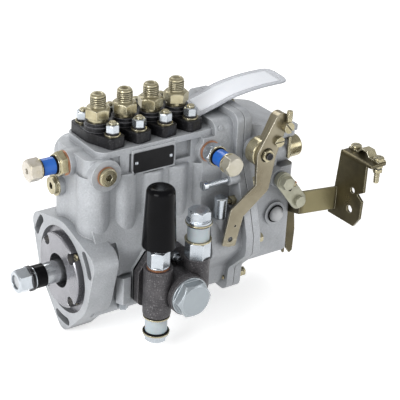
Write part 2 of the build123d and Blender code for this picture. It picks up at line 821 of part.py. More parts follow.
def make_socket_plugs():
    """Plug in the front end of the gallery and plug over the rack end."""
    gallery = to_front(tube_x, tube_front_y - copper_thickness, tube_z)
    gallery *= socket_plug(plug_radius, plug_thickness, plug_socket_af, 12)
    cap = cyl_z(plug_radius - 0.5, 0, plug_thickness)
    cap -= extrude(RegularPolygon(radius=plug_socket_af / math.sqrt(3), side_count=6), plug_thickness + 1)
    cap += cyl_z(plug_radius + 2, -copper_thickness, 0) + cyl_z(rack_radius, -4, 0)
    cap = to_left(rack_boss_face_x - copper_thickness, rack_y, rack_z) * cap
    return [gallery, cap]


def make_copper_washers():
    """Soft washers under the plugs, the two adapters and the primer nut."""
    seats = (
        (to_front(tube_x, tube_front_y, tube_z), plug_radius + 0.6, port_thread_radius),
        (to_left(inlet_face_x, inlet_y, inlet_z), copper_radius + 1.4, port_thread_radius),
        (to_front(return_x, return_face_y, return_z), copper_radius, port_thread_radius),
        (Pos(feed_inlet_x, feed_valve_y, feed_inlet_top_z), copper_radius, primer_shank_radius),
    )
    return [place * ring(outer, inner, copper_thickness) for place, outer, inner in seats]


def make_inlet_adapter():
    """Hexagon adapter on the end of the gallery."""
    body = hexagon(adapter_af, adapter_length) + cyl_z(port_thread_radius, -13, 0)
    body -= cyl_z(banjo_shank_radius, -5, adapter_length + 1)
    return inlet_place() * Rot(0, 0, 8) * body


def make_return_adapter():
    """Longer hexagon adapter in the front of the housing, round at the housing."""
    half = 0.45 * return_adapter_length
    body = cyl_z(adapter_af * 0.46, 0, half) + cyl_z(port_thread_radius, -13, 0)
    body += Pos(0, 0, half) * hexagon(adapter_af - 2, return_adapter_length - half)
    body -= cyl_z(banjo_shank_radius, -5, return_adapter_length + 1)
    return return_place() * body


def fitting_stack(start):
    """Distances from an adapter face to each part of a shipping fitting: ring, seal, sleeve, seal, ring."""
    marks = [start]
    for step in (ring_thickness, seal_thickness, sleeve_length, seal_thickness, ring_thickness):
        marks.append(marks[-1] + step)
    return marks


def inlet_place():
    return to_left(inlet_face_x - copper_thickness, inlet_y, inlet_z)


def return_place():
    return to_front(return_x, return_face_y - copper_thickness, return_z)


def fittings():
    """The two shipping fittings with blue sleeves, as place and distances."""
    return ((inlet_place(), fitting_stack(adapter_length)),
            (return_place(), fitting_stack(return_adapter_length)))


def banjo_bolt(marks, turn, across_flats, drilled):
    """Hexagon bolt that clamps a sleeve against its adapter."""
    head = Pos(0, 0, marks[5]) * Rot(0, 0, turn) * hexagon(across_flats, banjo_head_length)
    head += cyl_z(banjo_shank_radius, marks[0] - 8, marks[5])
    if drilled:
        head -= cone_z(1.5, 3.2, marks[5] + banjo_head_length - 5, marks[5] + banjo_head_length)
    return head


def make_inlet_bolt():
    place, marks = fittings()[0]
    return place * banjo_bolt(marks, 10, banjo_af, True)


def make_return_bolt():
    place, marks = fittings()[1]
    return place * banjo_bolt(marks, 2, banjo_af - 2, False)


def make_blue_sleeves():
    sleeves = []
    for place, marks in fittings():
        tube = cyl_z(sleeve_radius, marks[2], marks[3])
        tube = fillet(tube.edges(), 0.8) - cyl_z(banjo_shank_radius, marks[2] - 1, marks[3] + 1)
        sleeves.append(place * tube)
    return sleeves


def make_seal_rings():
    """Black rings at both ends of every sleeve."""
    rings = []
    for place, marks in fittings():
        for k in (1, 3):
            seal = ring(sleeve_radius + 0.9, banjo_shank_radius, seal_thickness)
            rings.append(place * Pos(0, 0, marks[k]) * seal)
    for place, marks in feed_fittings():
        seal = ring(white_sleeve_radius + 1.4, banjo_shank_radius, seal_thickness)
        rings.append(place * Pos(0, 0, marks[3]) * seal)
    return rings


def make_zinc_washers():
    """Yellow-zinc washers of every fitting."""
    washers = []
    for place, marks in fittings():
        for k in (0, 4):
            washer = ring(sleeve_radius + 2, banjo_shank_radius, ring_thickness)
            washers.append(place * Pos(0, 0, marks[k]) * washer)
    for place, marks in feed_fittings():
        for k in (0, 4):
            washer = ring(white_sleeve_radius + 2.6, banjo_shank_radius, ring_thickness)
            washers.append(place * Pos(0, 0, marks[k]) * washer)
    return washers


def make_name_plate():
    """Bare plate with rounded corners and two rivets."""
    plate = extrude(RectangleRounded(plate_length, plate_height, 2.2), plate_thickness)
    plate = to_front(plate_x, plate_pad_y, plate_z) * plate
    for side in (-1, 1):
        x = plate_x + side * (plate_length / 2 - 3.6)
        rivet = cyl_y(1.7, plate_pad_y, plate_pad_y - plate_thickness - 0.7, x, plate_z)
        plate += rivet
    return plate


def make_stop_screw():
    """Slotted cheese-head screw that stands along X on the front of the governor."""
    tip_x = gasket_x - rim_width - 12
    head_x = tip_x - 33
    head = cyl_x(5.2, head_x, head_x + 5, stop_screw_y, stop_screw_z)
    head -= block(head_x - 1, head_x + 2.4, stop_screw_y - 0.6, stop_screw_y + 0.6,
                  stop_screw_z - 6, stop_screw_z + 6)
    return head + cyl_x(stop_screw_radius, head_x + 5, tip_x + 7, stop_screw_y, stop_screw_z)


def make_rack_stop_post():
    """Capped vertical screw on the shoulder of the governor bowl."""
    post = cyl_z(post_radius, shoulder_z, shoulder_z + 24, post_x, post_y)
    return chamfer(post.edges().group_by(Axis.Z)[-1], 1.2)


def make_adjusting_screws():
    """Zinc screws: the full-load screw of the governor and the drain screw under the lug."""
    full_load = to_left(gasket_x - rim_width, full_load_y, full_load_z) * hexagon(10, 6)
    full_load += to_left(gasket_x - rim_width - 6, full_load_y, full_load_z) * cyl_z(3, 0, 6)
    lug_screw = cyl_z(3.2, lug_bottom_z - 5, lug_bottom_z, lug_x, lug_y)
    return [full_load, lug_screw]


def make_governor_gasket():
    """Thin gasket that follows the rim."""
    sheet_body = Pos(gasket_x, 0, 0) * extrude(Plane.YZ * governor_outline(0.4), gasket_thickness)
    sheet_body -= cyl_x(governor_bore_radius, gasket_x - 1, gasket_x + 2)
    for y, z in rim_bolts:
        sheet_body -= cyl_x(3, gasket_x - 1, gasket_x + 2, y, z)
    return sheet_body


def make_governor_rear_cover():
    """Rear cover: rim, box with a sloping roof, bosses for the lever shafts, spring seat."""
    x0 = gasket_x + gasket_thickness
    rim = Pos(x0, 0, 0) * extrude(Plane.YZ * governor_outline(), rim_width)
    roof = [(x0 + 1, cover_bottom_z), (cover_end_x, cover_bottom_z), (cover_end_x, cover_roof_rear_z),
            (x0 + 1, cover_roof_front_z)]
    box = front_plate(roof, -cover_wall_y, -2 * cover_wall_y)
    box = fillet(box.edges().filter_by(Axis.Z).group_by(Axis.X)[-1], 8)
    box = fillet(box.edges().filter_by(Axis.X), 6)
    body = rim + box
    waist = block(waist_x, cover_end_x + 1, cover_wall_y - 1, waist_y, waist_bottom_z, waist_top_z)
    body -= fillet(waist.edges().filter_by(Axis.Z).group_by(Axis.X)[0].sort_by(Axis.Y)[-1], 6)
    body += cyl_y(11.5, cover_wall_y + 2, lever_boss_face_y, lever_x, lever_z)
    body += cyl_y(11, cover_wall_y + 2, stop_boss_face_y, stop_x, stop_z)
    body += cyl_y(14, cover_wall_y + 2, plug_face_y, plug_x, plug_z)
    body += cyl_x(15, waist_x - 2, spring_boss_x, spring_cap_y, spring_cap_z)
    body += block(cover_end_x - 1, cover_end_x + 7, spring_cap_y - 6, spring_cap_y + 6,
                  waist_top_z + 1, waist_top_z + 8)
    cavity = [(x0 - 1, cover_bottom_z + cover_wall), (cover_end_x - cover_wall, cover_bottom_z + cover_wall),
              (cover_end_x - cover_wall, cover_roof_rear_z - cover_wall), (x0 - 1, cover_roof_front_z - 12)]
    room = front_plate(cavity, -cover_wall_y - cover_wall, -2 * (cover_wall_y + cover_wall))
    room -= block(waist_x - cover_wall, cover_end_x, cover_wall_y, waist_y + cover_wall,
                  waist_bottom_z - cover_wall, cover_roof_front_z)
    body -= room
    body -= cyl_x(governor_bore_radius, x0 - 1, x0 + rim_width - 3)
    body -= cyl_y(lever_shaft_radius + running_clearance, 0, lever_boss_face_y - 1, lever_x, lever_z)
    body -= cyl_y(stop_shaft_radius + running_clearance, 0, stop_boss_face_y - 1, stop_x, stop_z)
    for y, z in rim_bolts:
        body -= cyl_x(3, x0 - 1, x0 + rim_width + 1, y, z)
    return body


def make_cover_bolts():
    """Hexagon bolts with washers round the rim of the governor."""
    face = gasket_x + gasket_thickness + rim_width
    bolts = []
    for i, (y, z) in enumerate(rim_bolts):
        bolt = cyl_z(5.6, 0, 1.4) + Pos(0, 0, 1.4) * Rot(0, 0, 11 * i) * hexagon(10, 5)
        bolt += cyl_z(3, -rim_width - gasket_thickness, 1)
        bolts.append(to_right(face, y, z) * bolt)
    return bolts


def make_cover_plug():
    """Smooth domed plug on its seat ring in the front wall of the cover."""
    dome = Pos(0, 0, -1) * Sphere(9.4)
    dome &= cyl_z(8.4, 1, 9)
    return to_front(plug_x, plug_face_y, plug_z) * (cyl_z(10.2, 0, 1.6) + dome)


def make_spring_cap():
    """Turned cap over the end of the governor spring."""
    end_x = spring_boss_x + spring_cap_length
    cap = cyl_x(13, spring_boss_x, end_x, spring_cap_y, spring_cap_z)
    cap = fillet(cap.edges().group_by(Axis.X)[-1], 3)
    return cap + cyl_x(14.4, spring_boss_x, spring_boss_x + 3, spring_cap_y, spring_cap_z)


def feed_fittings():
    """The two shipping fittings of the feed pump, as place and distances."""
    low = Pos(feed_inlet_x, feed_valve_y, feed_inlet_bottom_z) * Rot(180, 0, 0)
    high = Pos(feed_outlet_x, feed_valve_y, feed_outlet_top_z)
    return ((low, white_stack(0)), (high, white_stack(feed_adapter_length)))


def white_stack(start):
    """Distances of ring, sleeve, seal and ring from the seat of a feed pump fitting."""
    first = start + ring_thickness
    end = first + white_sleeve_length
    return [start, first, first, end, end + seal_thickness, end + seal_thickness + ring_thickness]


def make_feed_pump_body():
    """Cast body: flange, piston barrel, two valve towers and the web between them."""
    seat_y = pad_y - feed_gasket_thickness
    body = feed_outline(seat_y, feed_flange_thickness)
    low = feed_axis_z
    body += cyl_y(feed_neck_radius, seat_y, feed_valve_y, feed_x, low)
    body += cyl_y(feed_barrel_radius, feed_valve_y + 6, feed_barrel_end_y, feed_x, low)
    body += cyl_y(feed_barrel_radius + 2.5, feed_barrel_end_y + 7, feed_barrel_end_y, feed_x, low)
    inlet = cyl_z(feed_inlet_radius, feed_inlet_bottom_z, feed_inlet_top_z, feed_inlet_x, feed_valve_y)
    inlet = fillet(inlet.edges().group_by(Axis.Z)[0], 4)
    outlet = cyl_z(feed_outlet_radius, -12, feed_outlet_top_z, feed_outlet_x, feed_valve_y)
    outlet = fillet(outlet.edges().group_by(Axis.Z)[0], 5)
    body += inlet + outlet
    body += block(feed_inlet_x, feed_outlet_x, feed_valve_y - 8, seat_y - 1, -17, 12)
    body -= cyl_y(feed_bore_radius, seat_y - 14, feed_barrel_end_y - 1, feed_x, feed_axis_z)
    low = feed_inlet_bottom_z
    high = feed_inlet_top_z
    body -= cyl_z(primer_shank_radius, high - 14, high + 1, feed_inlet_x, feed_valve_y)
    body -= cyl_z(banjo_shank_radius, low - 1, low + 9, feed_inlet_x, feed_valve_y)
    high = feed_outlet_top_z
    body -= cyl_z(port_thread_radius, high - 11, high + 1, feed_outlet_x, feed_valve_y)
    for x, z in feed_stud_places:
        body -= cyl_y(feed_stud_radius, seat_y + 1, seat_y - feed_flange_thickness - 1, x, z)
    return body


def make_feed_pump_gasket():
    """Thick black joint between the housing and the feed pump."""
    plate = feed_outline(pad_y, feed_gasket_thickness)
    plate -= cyl_y(14, pad_y + 1, pad_y - 10, feed_x, 0)
    for x, z in feed_stud_places:
        plate -= cyl_y(feed_stud_radius, pad_y + 1, pad_y - 10, x, z)
    return plate


def make_feed_pump_nuts():
    """Studs of the feed pump flange with washers and nuts."""
    face = pad_y - feed_gasket_thickness - feed_flange_thickness
    nuts = []
    for x, z in feed_stud_places:
        stud = cyl_z(feed_stud_radius, face - pad_y, 11) + cyl_z(feed_nut_af / 2, 0, 1.2)
        stud += Pos(0, 0, 1.2) * hexagon(feed_nut_af, 5)
        stud -= block(-5, 5, -0.6, 0.6, 9.5, 12)
        nuts.append(to_front(x, face, z) * stud)
    return nuts


def make_feed_pump_plug():
    """Large hexagon plug over the piston spring."""
    head = hexagon(feed_plug_af, feed_plug_length - 2)
    plug = cyl_z(feed_barrel_radius + 1.5, 0, 2) + Pos(0, 0, 2) * head + cyl_z(feed_bore_radius, -10, 0)
    return to_front(feed_x, feed_barrel_end_y, feed_axis_z) * plug


def make_primer_nut():
    """Hexagon guide of the priming pump, with a round neck above it."""
    z0 = feed_inlet_top_z + copper_thickness
    guide_height = primer_nut_height + primer_collar_height
    nut = hexagon(primer_nut_af, primer_nut_height) + cyl_z(primer_shank_radius, -12, 0)
    nut += cyl_z(primer_collar_radius, primer_nut_height - 1, guide_height)
    nut -= cyl_z(primer_rod_radius + running_clearance, -14, guide_height + 1)
    return Pos(feed_inlet_x, feed_valve_y, z0) * Rot(0, 0, 20) * nut


def make_primer_knob():
    """Priming knob pushed fully down: a handle, hollow below, on its rod."""
    guide_height = primer_nut_height + primer_collar_height
    z0 = feed_inlet_top_z + copper_thickness + guide_height + part_clearance
    body = cone_z(knob_bottom_radius, knob_top_radius, 0, knob_height)
    body = fillet(body.edges().group_by(Axis.Z)[-1], 6)
    body = fillet(body.edges().group_by(Axis.Z)[0], 1)
    body -= cyl_z(primer_collar_radius + 1.5, -1, knob_skirt_depth)
    body += cyl_z(primer_rod_radius, -guide_height - 10, knob_skirt_depth + 1)
    return Pos(feed_inlet_x, feed_valve_y, z0) * body


def make_feed_outlet_adapter():
    body = hexagon(adapter_af, feed_adapter_length) + cyl_z(port_thread_radius, -10, 0)
    body -= cyl_z(banjo_shank_radius, 4, feed_adapter_length + 1)
    return Pos(feed_outlet_x, feed_valve_y, feed_outlet_top_z) * Rot(0, 0, 20) * body


def make_feed_pump_sleeves():
    sleeves = []
    for place, marks in feed_fittings():
        tube = cyl_z(white_sleeve_radius, marks[1], marks[3])
        sleeves.append(place * (tube - cyl_z(banjo_shank_radius, marks[1] - 1, marks[3] + 1)))
    return sleeves


def make_feed_pump_bolts():
    """Flanged hexagon bolts that clamp the white sleeves."""
    bolts = []
    for (place, marks), length in zip(feed_fittings(), (9.0, 14.0)):
        head = Pos(0, 0, marks[5]) * cyl_z(white_sleeve_radius + 1.8, 0, 2.5)
        head += Pos(0, 0, marks[5] + 2.5) * Rot(0, 0, 9) * hexagon(banjo_af, length - 2.5)
        head += cyl_z(banjo_shank_radius, marks[0] - 7, marks[5])
        bolts.append(place * head)
    return bolts


def bar_shape(points, radii):
    """Flat outline through round ends and bends of given radii."""
    shape = None
    for i in range(len(points) - 1):
        a = Pos(*points[i]) * Circle(radii[i])
        b = Pos(*points[i + 1]) * Circle(radii[i + 1])
        limb = make_hull(a.edges() + b.edges())
        shape = limb if shape is None else shape + limb
    return shape


def make_speed_lever():
    """Two riveted plates: a cranked arm down to the cable hole and a short arm up."""
    upper = bar_shape([(0, 0), upper_arm_end], (lever_eye_radius, 9.5))
    short = bar_shape(speed_arm[:2], (lever_eye_radius, 8))
    plates = extrude(upper + short, lever_plate)
    plates += Pos(0, 0, lever_plate) * extrude(upper + bar_shape(speed_arm, speed_arm_radii), lever_plate)
    end_x, end_z = speed_arm[-1]
    top = 2 * lever_plate + 1
    back = extrude(bar_shape([(0, 0), upper_arm_end], (lever_eye_radius - 3, 9.5)), upper_arm_back)
    back = Pos(0, 0, -upper_arm_back) * back
    plates += back - cyl_z(hub_radius + part_clearance, -upper_arm_back - 1, 0)
    plates -= cyl_z(lever_eye_bore, -1, top)
    plates -= cyl_z(3.2, -1, top, end_x, end_z)
    plates -= cyl_z(1.4, -1, top, end_x + 5.5, end_z + 15)
    plates -= cyl_z(3.2, -3, top, *swivel_place)
    return to_front(lever_x, speed_plate_y, lever_z) * plates


def make_lever_hub():
    """Cup that carries the speed lever and holds its return spring, and the nut in front of it."""
    cup = cyl_z(hub_radius, 0, hub_length) - cyl_z(hub_radius - 2.5, -1, hub_length - 3)
    cup += cyl_z(9, 2, hub_length)
    cup = fillet(cup.edges().group_by(Axis.Z)[-1].sort_by(SortBy.LENGTH)[-1], 1.5)
    cup -= cyl_z(lever_shaft_radius, -1, hub_length + 1)
    nut = Rot(0, 0, 12) * hexagon(lever_nut_af, lever_nut_height, lever_stud_radius)
    nut = to_front(lever_x, speed_plate_y - lever_plate, lever_z) * nut
    return [to_front(lever_x, speed_plate_y + hub_length, lever_z) * cup, nut]


def make_lever_shaft():
    """Speed lever shaft with a black seat under the nut and a black stud end."""
    shaft = cyl_z(lever_shaft_radius, -40, 1)
    shaft += cyl_z(lever_eye_bore - running_clearance, 0, lever_plate)
    shaft += cyl_z(lever_stud_radius, 0, 2 * lever_plate + lever_nut_height)
    return to_front(lever_x, speed_plate_y, lever_z) * shaft


def make_cable_swivel():
    """Vertical cable pin in the upper arm, held by two slotted screws."""
    face = 2 * lever_plate
    x, z = swivel_place
    block_body = Pos(x, z, 0) * (cyl_z(swivel_radius, face, face + 8) + cyl_z(3.2, -2, face))
    block_body -= Pos(x, z, 0) * Rot(0, 0, -50) * block(-8, 8, -0.8, 0.8, face + 6, face + 9)
    pin = Pos(x + 2, z + 4, face + 3.4) * Rot(-90, 0, 0) * cyl_z(3.2, -5, 14)
    screw_x, screw_z = lower_screw
    screw = cyl_z(lower_screw_radius, face, face + 4, screw_x, screw_z)
    screw -= block(screw_x - 7, screw_x + 7, screw_z - 0.8, screw_z + 0.8, face + 2.4, face + 5)
    place = to_front(lever_x, speed_plate_y, lever_z)
    return [place * (block_body + pin), place * screw]


def make_stop_lever():
    """Short plate with round ends, split for its clamp screw."""
    points = [(0, 0), (stop_reach_x, stop_reach_z)]
    plate = extrude(bar_shape(points, (stop_end_radius, stop_end_radius)), stop_plate)
    plate += cyl_z(9, -4, 0)
    plate -= cyl_z(stop_shaft_radius, -5, stop_plate + 1)
    plate -= cyl_z(3, -1, stop_plate + 1, stop_reach_x, stop_reach_z)
    plate -= cyl_z(1.6, -1, stop_plate + 1, 0.4 * stop_reach_x, 0.4 * stop_reach_z)
    return to_front(stop_x, stop_plate_y, stop_z) * plate


def make_stop_lever_bolts():
    """Stop shaft with its square-shouldered hexagon head, and the cable bolt below."""
    shaft = cyl_z(stop_shaft_radius, -34, stop_plate)
    shaft += Pos(0, 0, stop_plate) * (cyl_z(8.4, 0, 1.2) + Pos(0, 0, 1.2) * hexagon(14, 8))
    cable = cyl_z(3, -3, stop_plate) + cyl_z(6.5, stop_plate, stop_plate + 4.5)
    cable += Pos(0, 0, -2.5) * cyl_z(5, 0, 2.5)
    place = to_front(stop_x, stop_plate_y, stop_z)
    return [place * shaft, place * Pos(stop_reach_x, stop_reach_z, 0) * cable]


def make_cable_bracket():
    """Bent sheet: foot on the cover end, arm, upright plate and top flap."""
    t = sheet
    foot_x = cover_end_x
    strap = [(-36, -14), (-36, 18), (arm_start_y, arm_low_z), (arm_start_y, arm_high_z),
             (arm_start_y + t, arm_high_z), (-30, 40), (-24, 10), (-24, -30), (-36, -38)]
    foot = across(strap, foot_x, foot_x + t)
    tab = [(foot_x + 0.1, -12), (foot_x + 3, 22), (foot_x + 12, 24), (foot_x + 16, -10), (foot_x + 15, -38),
           (foot_x + 11, -41), (foot_x + 6, -34), (foot_x + 3, -20)]
    foot += front_plate(tab, cover_wall_y + 12, t)
    turn = math.degrees(math.atan2(bracket_far_y - arm_start_y, bracket_plate_x - foot_x))
    length = math.hypot(bracket_far_y - arm_start_y, bracket_plate_x - foot_x)
    arm = Pos(foot_x, arm_start_y, 0) * Rot(0, 0, turn) * block(0, length, 0, t, arm_low_z, arm_high_z)
    x = bracket_plate_x
    low_z = arm_low_z - 9
    outline = [
        (bracket_far_y, bracket_top_z),
        (bracket_far_y + 5, arm_high_z - 7),
        (bracket_far_y + 12, low_z),
        (bracket_near_y + 11, low_z + 1),
        (bracket_near_y + 2, low_z + 14),
        (bracket_near_y + 1, arm_high_z - 1),
        (bracket_near_y + 10, arm_high_z + 5),
        (bracket_near_y, arm_high_z + 11),
        (bracket_near_y, bracket_top_z),
    ]
    upright = across(outline, x, x + t)
    upright -= cyl_x(3.6, x - 1, x + t + 1, bracket_hole_y, bracket_hole_z)
    upright -= cyl_x(4.6, x - 1, x + t + 1, bracket_hole_y + 2, bracket_hole_z - 24.5)
    flap = block(x, x + flap_length, bracket_near_y - flap_overhang, bracket_far_y, bracket_top_z - t,
                 bracket_top_z)
    flap = fillet(flap.edges().filter_by(Axis.Z).group_by(Axis.X)[-1], 4)
    flap = fillet(flap.edges().filter_by(Axis.Y).group_by(Axis.X)[0].sort_by(Axis.Z)[-1], t - 0.1)
    for screw_x, screw_y in clamp_screw_places():
        flap -= cyl_z(clamp_screw_radius, bracket_top_z - t - 1, bracket_top_z + 1, screw_x, screw_y)
    bend = block(x, x + bend_radius, bracket_near_y, bracket_far_y, bracket_top_z - bend_radius, bracket_top_z)
    round_part = cyl_y(bend_radius, bracket_near_y, bracket_far_y, x + bend_radius, bracket_top_z - bend_radius)
    metal = foot + arm + upright + flap
    return metal - (bend - round_part)


def clamp_screw_places():
    """Places of the saddle screws on the flap, the far one first."""
    x = bracket_plate_x + flap_length * 0.72
    return ((x, bracket_far_y - 6), (x, bracket_near_y))


def make_cable_clamp():
    """Saddle that holds the cable on the flap."""
    (x, far_y), (_, near_y) = clamp_screw_places()
    middle = (far_y + near_y) / 2
    end = (far_y - near_y) / 2 + 6
    t = saddle_sheet
    z = bracket_top_z
    wide = saddle_rise + 2
    half_outline = [
        (end, z),
        (end, z + t),
        (wide + 2, z + t),
        (wide - 3, z + saddle_rise + t),
    ]
    half_inside = [
        (wide - 4, z + saddle_rise),
        (wide + 1, z),
    ]
    outside = [(middle + y, height) for y, height in half_outline]
    outside += [(middle - y, height) for y, height in reversed(half_outline)]
    inside = [(middle - y, height) for y, height in reversed(half_inside)]
    inside += [(middle + y, height) for y, height in half_inside]
    saddle = across(outside + inside, x - 6, x + 6)
    for y in (far_y, near_y):
        saddle -= cyl_z(clamp_screw_radius, z - 1, z + t + 1, x, y)
    return saddle


def make_clamp_screws():
    """Two slotted screws through the saddle and the flap, each with a nut below."""
    screws = []
    top = bracket_top_z + saddle_sheet
    for (x, y), tail in zip(clamp_screw_places(), (12.0, 28.0)):
        head = cyl_z(clamp_head_radius, top, top + 3.6, x, y)
        screw = fillet(head.edges().group_by(Axis.Z)[-1], 1.6)
        screw += cyl_z(clamp_screw_radius, top - tail, top, x, y)
        screw += Pos(x, y, bracket_top_z - sheet) * Rot(180, 0, 0) * hexagon(10, 5)
        screw -= block(x - 7, x + 7, y - 0.7, y + 0.7, top + 2.2, top + 4)
        screws.append(screw)
    return screws


def make_shipping_tag():
    """Blank clear pouch that leans from the bowl over the rim of the governor."""
    rim_x = gasket_x - rim_width
    under = [(tag_start_x, governor_top_z - 7), (rim_x, governor_top_z), (rim_x + 24, governor_top_z + 7),
             (rim_x + 58, governor_top_z + 11), (tag_end_x, governor_top_z + 11)]
    over = [(x, z + tag_thickness) for x, z in reversed(under)]
    pouch = front_plate(under + over, tag_y, tag_width)
    return fillet(pouch.edges().filter_by(Axis.Z).group_by(Axis.X)[-1], tag_corner)


pieces = {
    "pump_housing": make_pump_housing(),
    "bearing_cover": make_bearing_cover(),
    "bearing_cover_screws": make_bearing_cover_screws(),
    "oil_seal": make_oil_seal(),
    "camshaft_bearings": make_camshaft_bearings(),
    "camshaft": make_camshaft(),
    "governor_weights": make_governor_weights(),
    "shaft_collar": make_shaft_collar(),
    "shaft_lock_washer": make_shaft_lock_washer(),
    "shaft_nut": make_shaft_nut(),
    "plunger_barrels": make_plunger_barrels(),
    "plungers": make_plungers(),
    "roller_tappets": make_roller_tappets(),
    "control_rack": make_control_rack(),
    "element_flanges": make_element_flanges(),
    "flange_studs": make_flange_studs(),
    "flange_washers": make_flange_washers(),
    "flange_lock_washers": make_flange_lock_washers(),
    "flange_nuts": make_flange_nuts(),
    "socket_plugs": make_socket_plugs(),
    "copper_washers": make_copper_washers(),
    "inlet_adapter": make_inlet_adapter(),
    "return_adapter": make_return_adapter(),
    "inlet_bolt": make_inlet_bolt(),
    "return_bolt": make_return_bolt(),
    "blue_sleeves": make_blue_sleeves(),
    "seal_rings": make_seal_rings(),
    "zinc_washers": make_zinc_washers(),
    "name_plate": make_name_plate(),
    "stop_screw": make_stop_screw(),
    "rack_stop_post": make_rack_stop_post(),
    "adjusting_screws": make_adjusting_screws(),
    "governor_gasket": make_governor_gasket(),
    "governor_rear_cover": make_governor_rear_cover(),
    "cover_bolts": make_cover_bolts(),
    "cover_plug": make_cover_plug(),
    "spring_cap": make_spring_cap(),
    "feed_pump_body": make_feed_pump_body(),
    "feed_pump_gasket": make_feed_pump_gasket(),
    "feed_pump_nuts": make_feed_pump_nuts(),
    "feed_pump_plug": make_feed_pump_plug(),
    "primer_nut": make_primer_nut(),
    "primer_knob": make_primer_knob(),
    "feed_outlet_adapter": make_feed_outlet_adapter(),
    "feed_pump_sleeves": make_feed_pump_sleeves(),
    "feed_pump_bolts": make_feed_pump_bolts(),
    "speed_lever": make_speed_lever(),
    "lever_hub": make_lever_hub(),
    "lever_shaft": make_lever_shaft(),
    "cable_swivel": make_cable_swivel(),
    "stop_lever": make_stop_lever(),
    "stop_lever_bolts": make_stop_lever_bolts(),
    "cable_bracket": make_cable_bracket(),
    "cable_clamp": make_cable_clamp(),
    "clamp_screws": make_clamp_screws(),
    "shipping_tag": make_shipping_tag(),
}
for i, (x, turn) in enumerate(zip(plunger_xs(), holder_turns)):
    pieces[f"delivery_valve_holder_{i + 1}"] = make_delivery_valve_holder(x, turn)

os.makedirs("parts", exist_ok=True)
for name, shape in pieces.items():
    solid = Compound(shape) if isinstance(shape, list) else shape
    export_step(solid, f"parts/{name}.step")
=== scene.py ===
import math

import bmesh
import bpy
from mathutils import Matrix, Vector


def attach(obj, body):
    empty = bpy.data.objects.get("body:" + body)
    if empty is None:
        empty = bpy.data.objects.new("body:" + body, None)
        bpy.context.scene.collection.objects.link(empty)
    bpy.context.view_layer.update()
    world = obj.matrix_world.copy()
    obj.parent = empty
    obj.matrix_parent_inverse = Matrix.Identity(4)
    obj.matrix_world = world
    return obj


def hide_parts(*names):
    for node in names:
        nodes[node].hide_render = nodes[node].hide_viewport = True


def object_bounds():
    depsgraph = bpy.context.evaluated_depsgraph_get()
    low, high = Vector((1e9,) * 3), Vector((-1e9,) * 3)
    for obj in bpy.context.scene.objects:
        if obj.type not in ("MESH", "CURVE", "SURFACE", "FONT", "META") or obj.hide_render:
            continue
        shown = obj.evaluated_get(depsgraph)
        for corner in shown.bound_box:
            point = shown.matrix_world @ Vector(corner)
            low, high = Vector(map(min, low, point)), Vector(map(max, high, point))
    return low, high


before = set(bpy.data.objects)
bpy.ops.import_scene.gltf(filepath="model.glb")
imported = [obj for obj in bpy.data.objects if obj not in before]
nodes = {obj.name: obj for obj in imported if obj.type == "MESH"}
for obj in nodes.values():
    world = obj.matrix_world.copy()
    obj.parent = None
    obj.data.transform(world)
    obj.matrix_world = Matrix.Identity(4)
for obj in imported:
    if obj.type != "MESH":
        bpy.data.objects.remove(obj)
cad_low, cad_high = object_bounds()
MM = 0.001

WHITE = (1.0, 1.0, 1.0)
BLACK = (0.0, 0.0, 0.0)


# Shader building blocks
def new_material(name):
    """Material, its node tree, its shader and the object's own coordinates."""
    material = bpy.data.materials.new(name)
    material.use_nodes = True
    tree = material.node_tree
    shader = tree.nodes["Principled BSDF"]
    coords = tree.nodes.new("ShaderNodeTexCoord")
    return material, tree, shader, coords.outputs["Object"]


def feed(tree, socket, value):
    """Give a socket a number, a colour or another node's output."""
    if isinstance(value, (int, float)):
        socket.default_value = value
    elif isinstance(value, tuple):
        socket.default_value = (*value, 1.0)
    else:
        tree.links.new(value, socket)


def noise(tree, vector, scale, detail, rough):
    node = tree.nodes.new("ShaderNodeTexNoise")
    node.inputs["Scale"].default_value = scale
    node.inputs["Detail"].default_value = detail
    node.inputs["Roughness"].default_value = rough
    tree.links.new(vector, node.inputs["Vector"])
    return node.outputs["Fac"]


def ramp(tree, value, stops):
    """Colour ramp from pairs of place and colour."""
    node = tree.nodes.new("ShaderNodeValToRGB")
    bar = node.color_ramp
    while len(bar.elements) < len(stops):
        bar.elements.new(0.5)
    for element, (place, colour) in zip(bar.elements, stops):
        element.position = place
        element.color = (*colour, 1.0)
    tree.links.new(value, node.inputs["Fac"])
    return node.outputs["Color"]


def mix(tree, factor, first, second):
    node = tree.nodes.new("ShaderNodeMix")
    node.data_type = "RGBA"
    for place, value in ((0, factor), (6, first), (7, second)):
        feed(tree, node.inputs[place], value)
    return node.outputs[2]


def calc(tree, operation, first, second=0.5):
    node = tree.nodes.new("ShaderNodeMath")
    node.operation = operation
    for socket, value in zip(node.inputs, (first, second)):
        feed(tree, socket, value)
    return node.outputs[0]


def map_range(tree, value, from_low=0.0, from_high=1.0, to_low=0.0, to_high=1.0):
    node = tree.nodes.new("ShaderNodeMapRange")
    for name, number in (("From Min", from_low), ("From Max", from_high), ("To Min", to_low), ("To Max", to_high)):
        node.inputs[name].default_value = number
    tree.links.new(value, node.inputs["Value"])
    return node.outputs["Result"]


def separate(tree, vector):
    node = tree.nodes.new("ShaderNodeSeparateXYZ")
    tree.links.new(vector, node.inputs["Vector"])
    return node.outputs


def bump(tree, height, strength, distance, below=None):
    node = tree.nodes.new("ShaderNodeBump")
    node.inputs["Strength"].default_value = strength
    node.inputs["Distance"].default_value = distance
    tree.links.new(height, node.inputs["Height"])
    if below is not None:
        tree.links.new(below, node.inputs["Normal"])
    return node.outputs["Normal"]


def soft_edges(tree, radius):
    node = tree.nodes.new("ShaderNodeBevel")
    node.samples = 4
    node.inputs["Radius"].default_value = radius
    return node.outputs["Normal"]


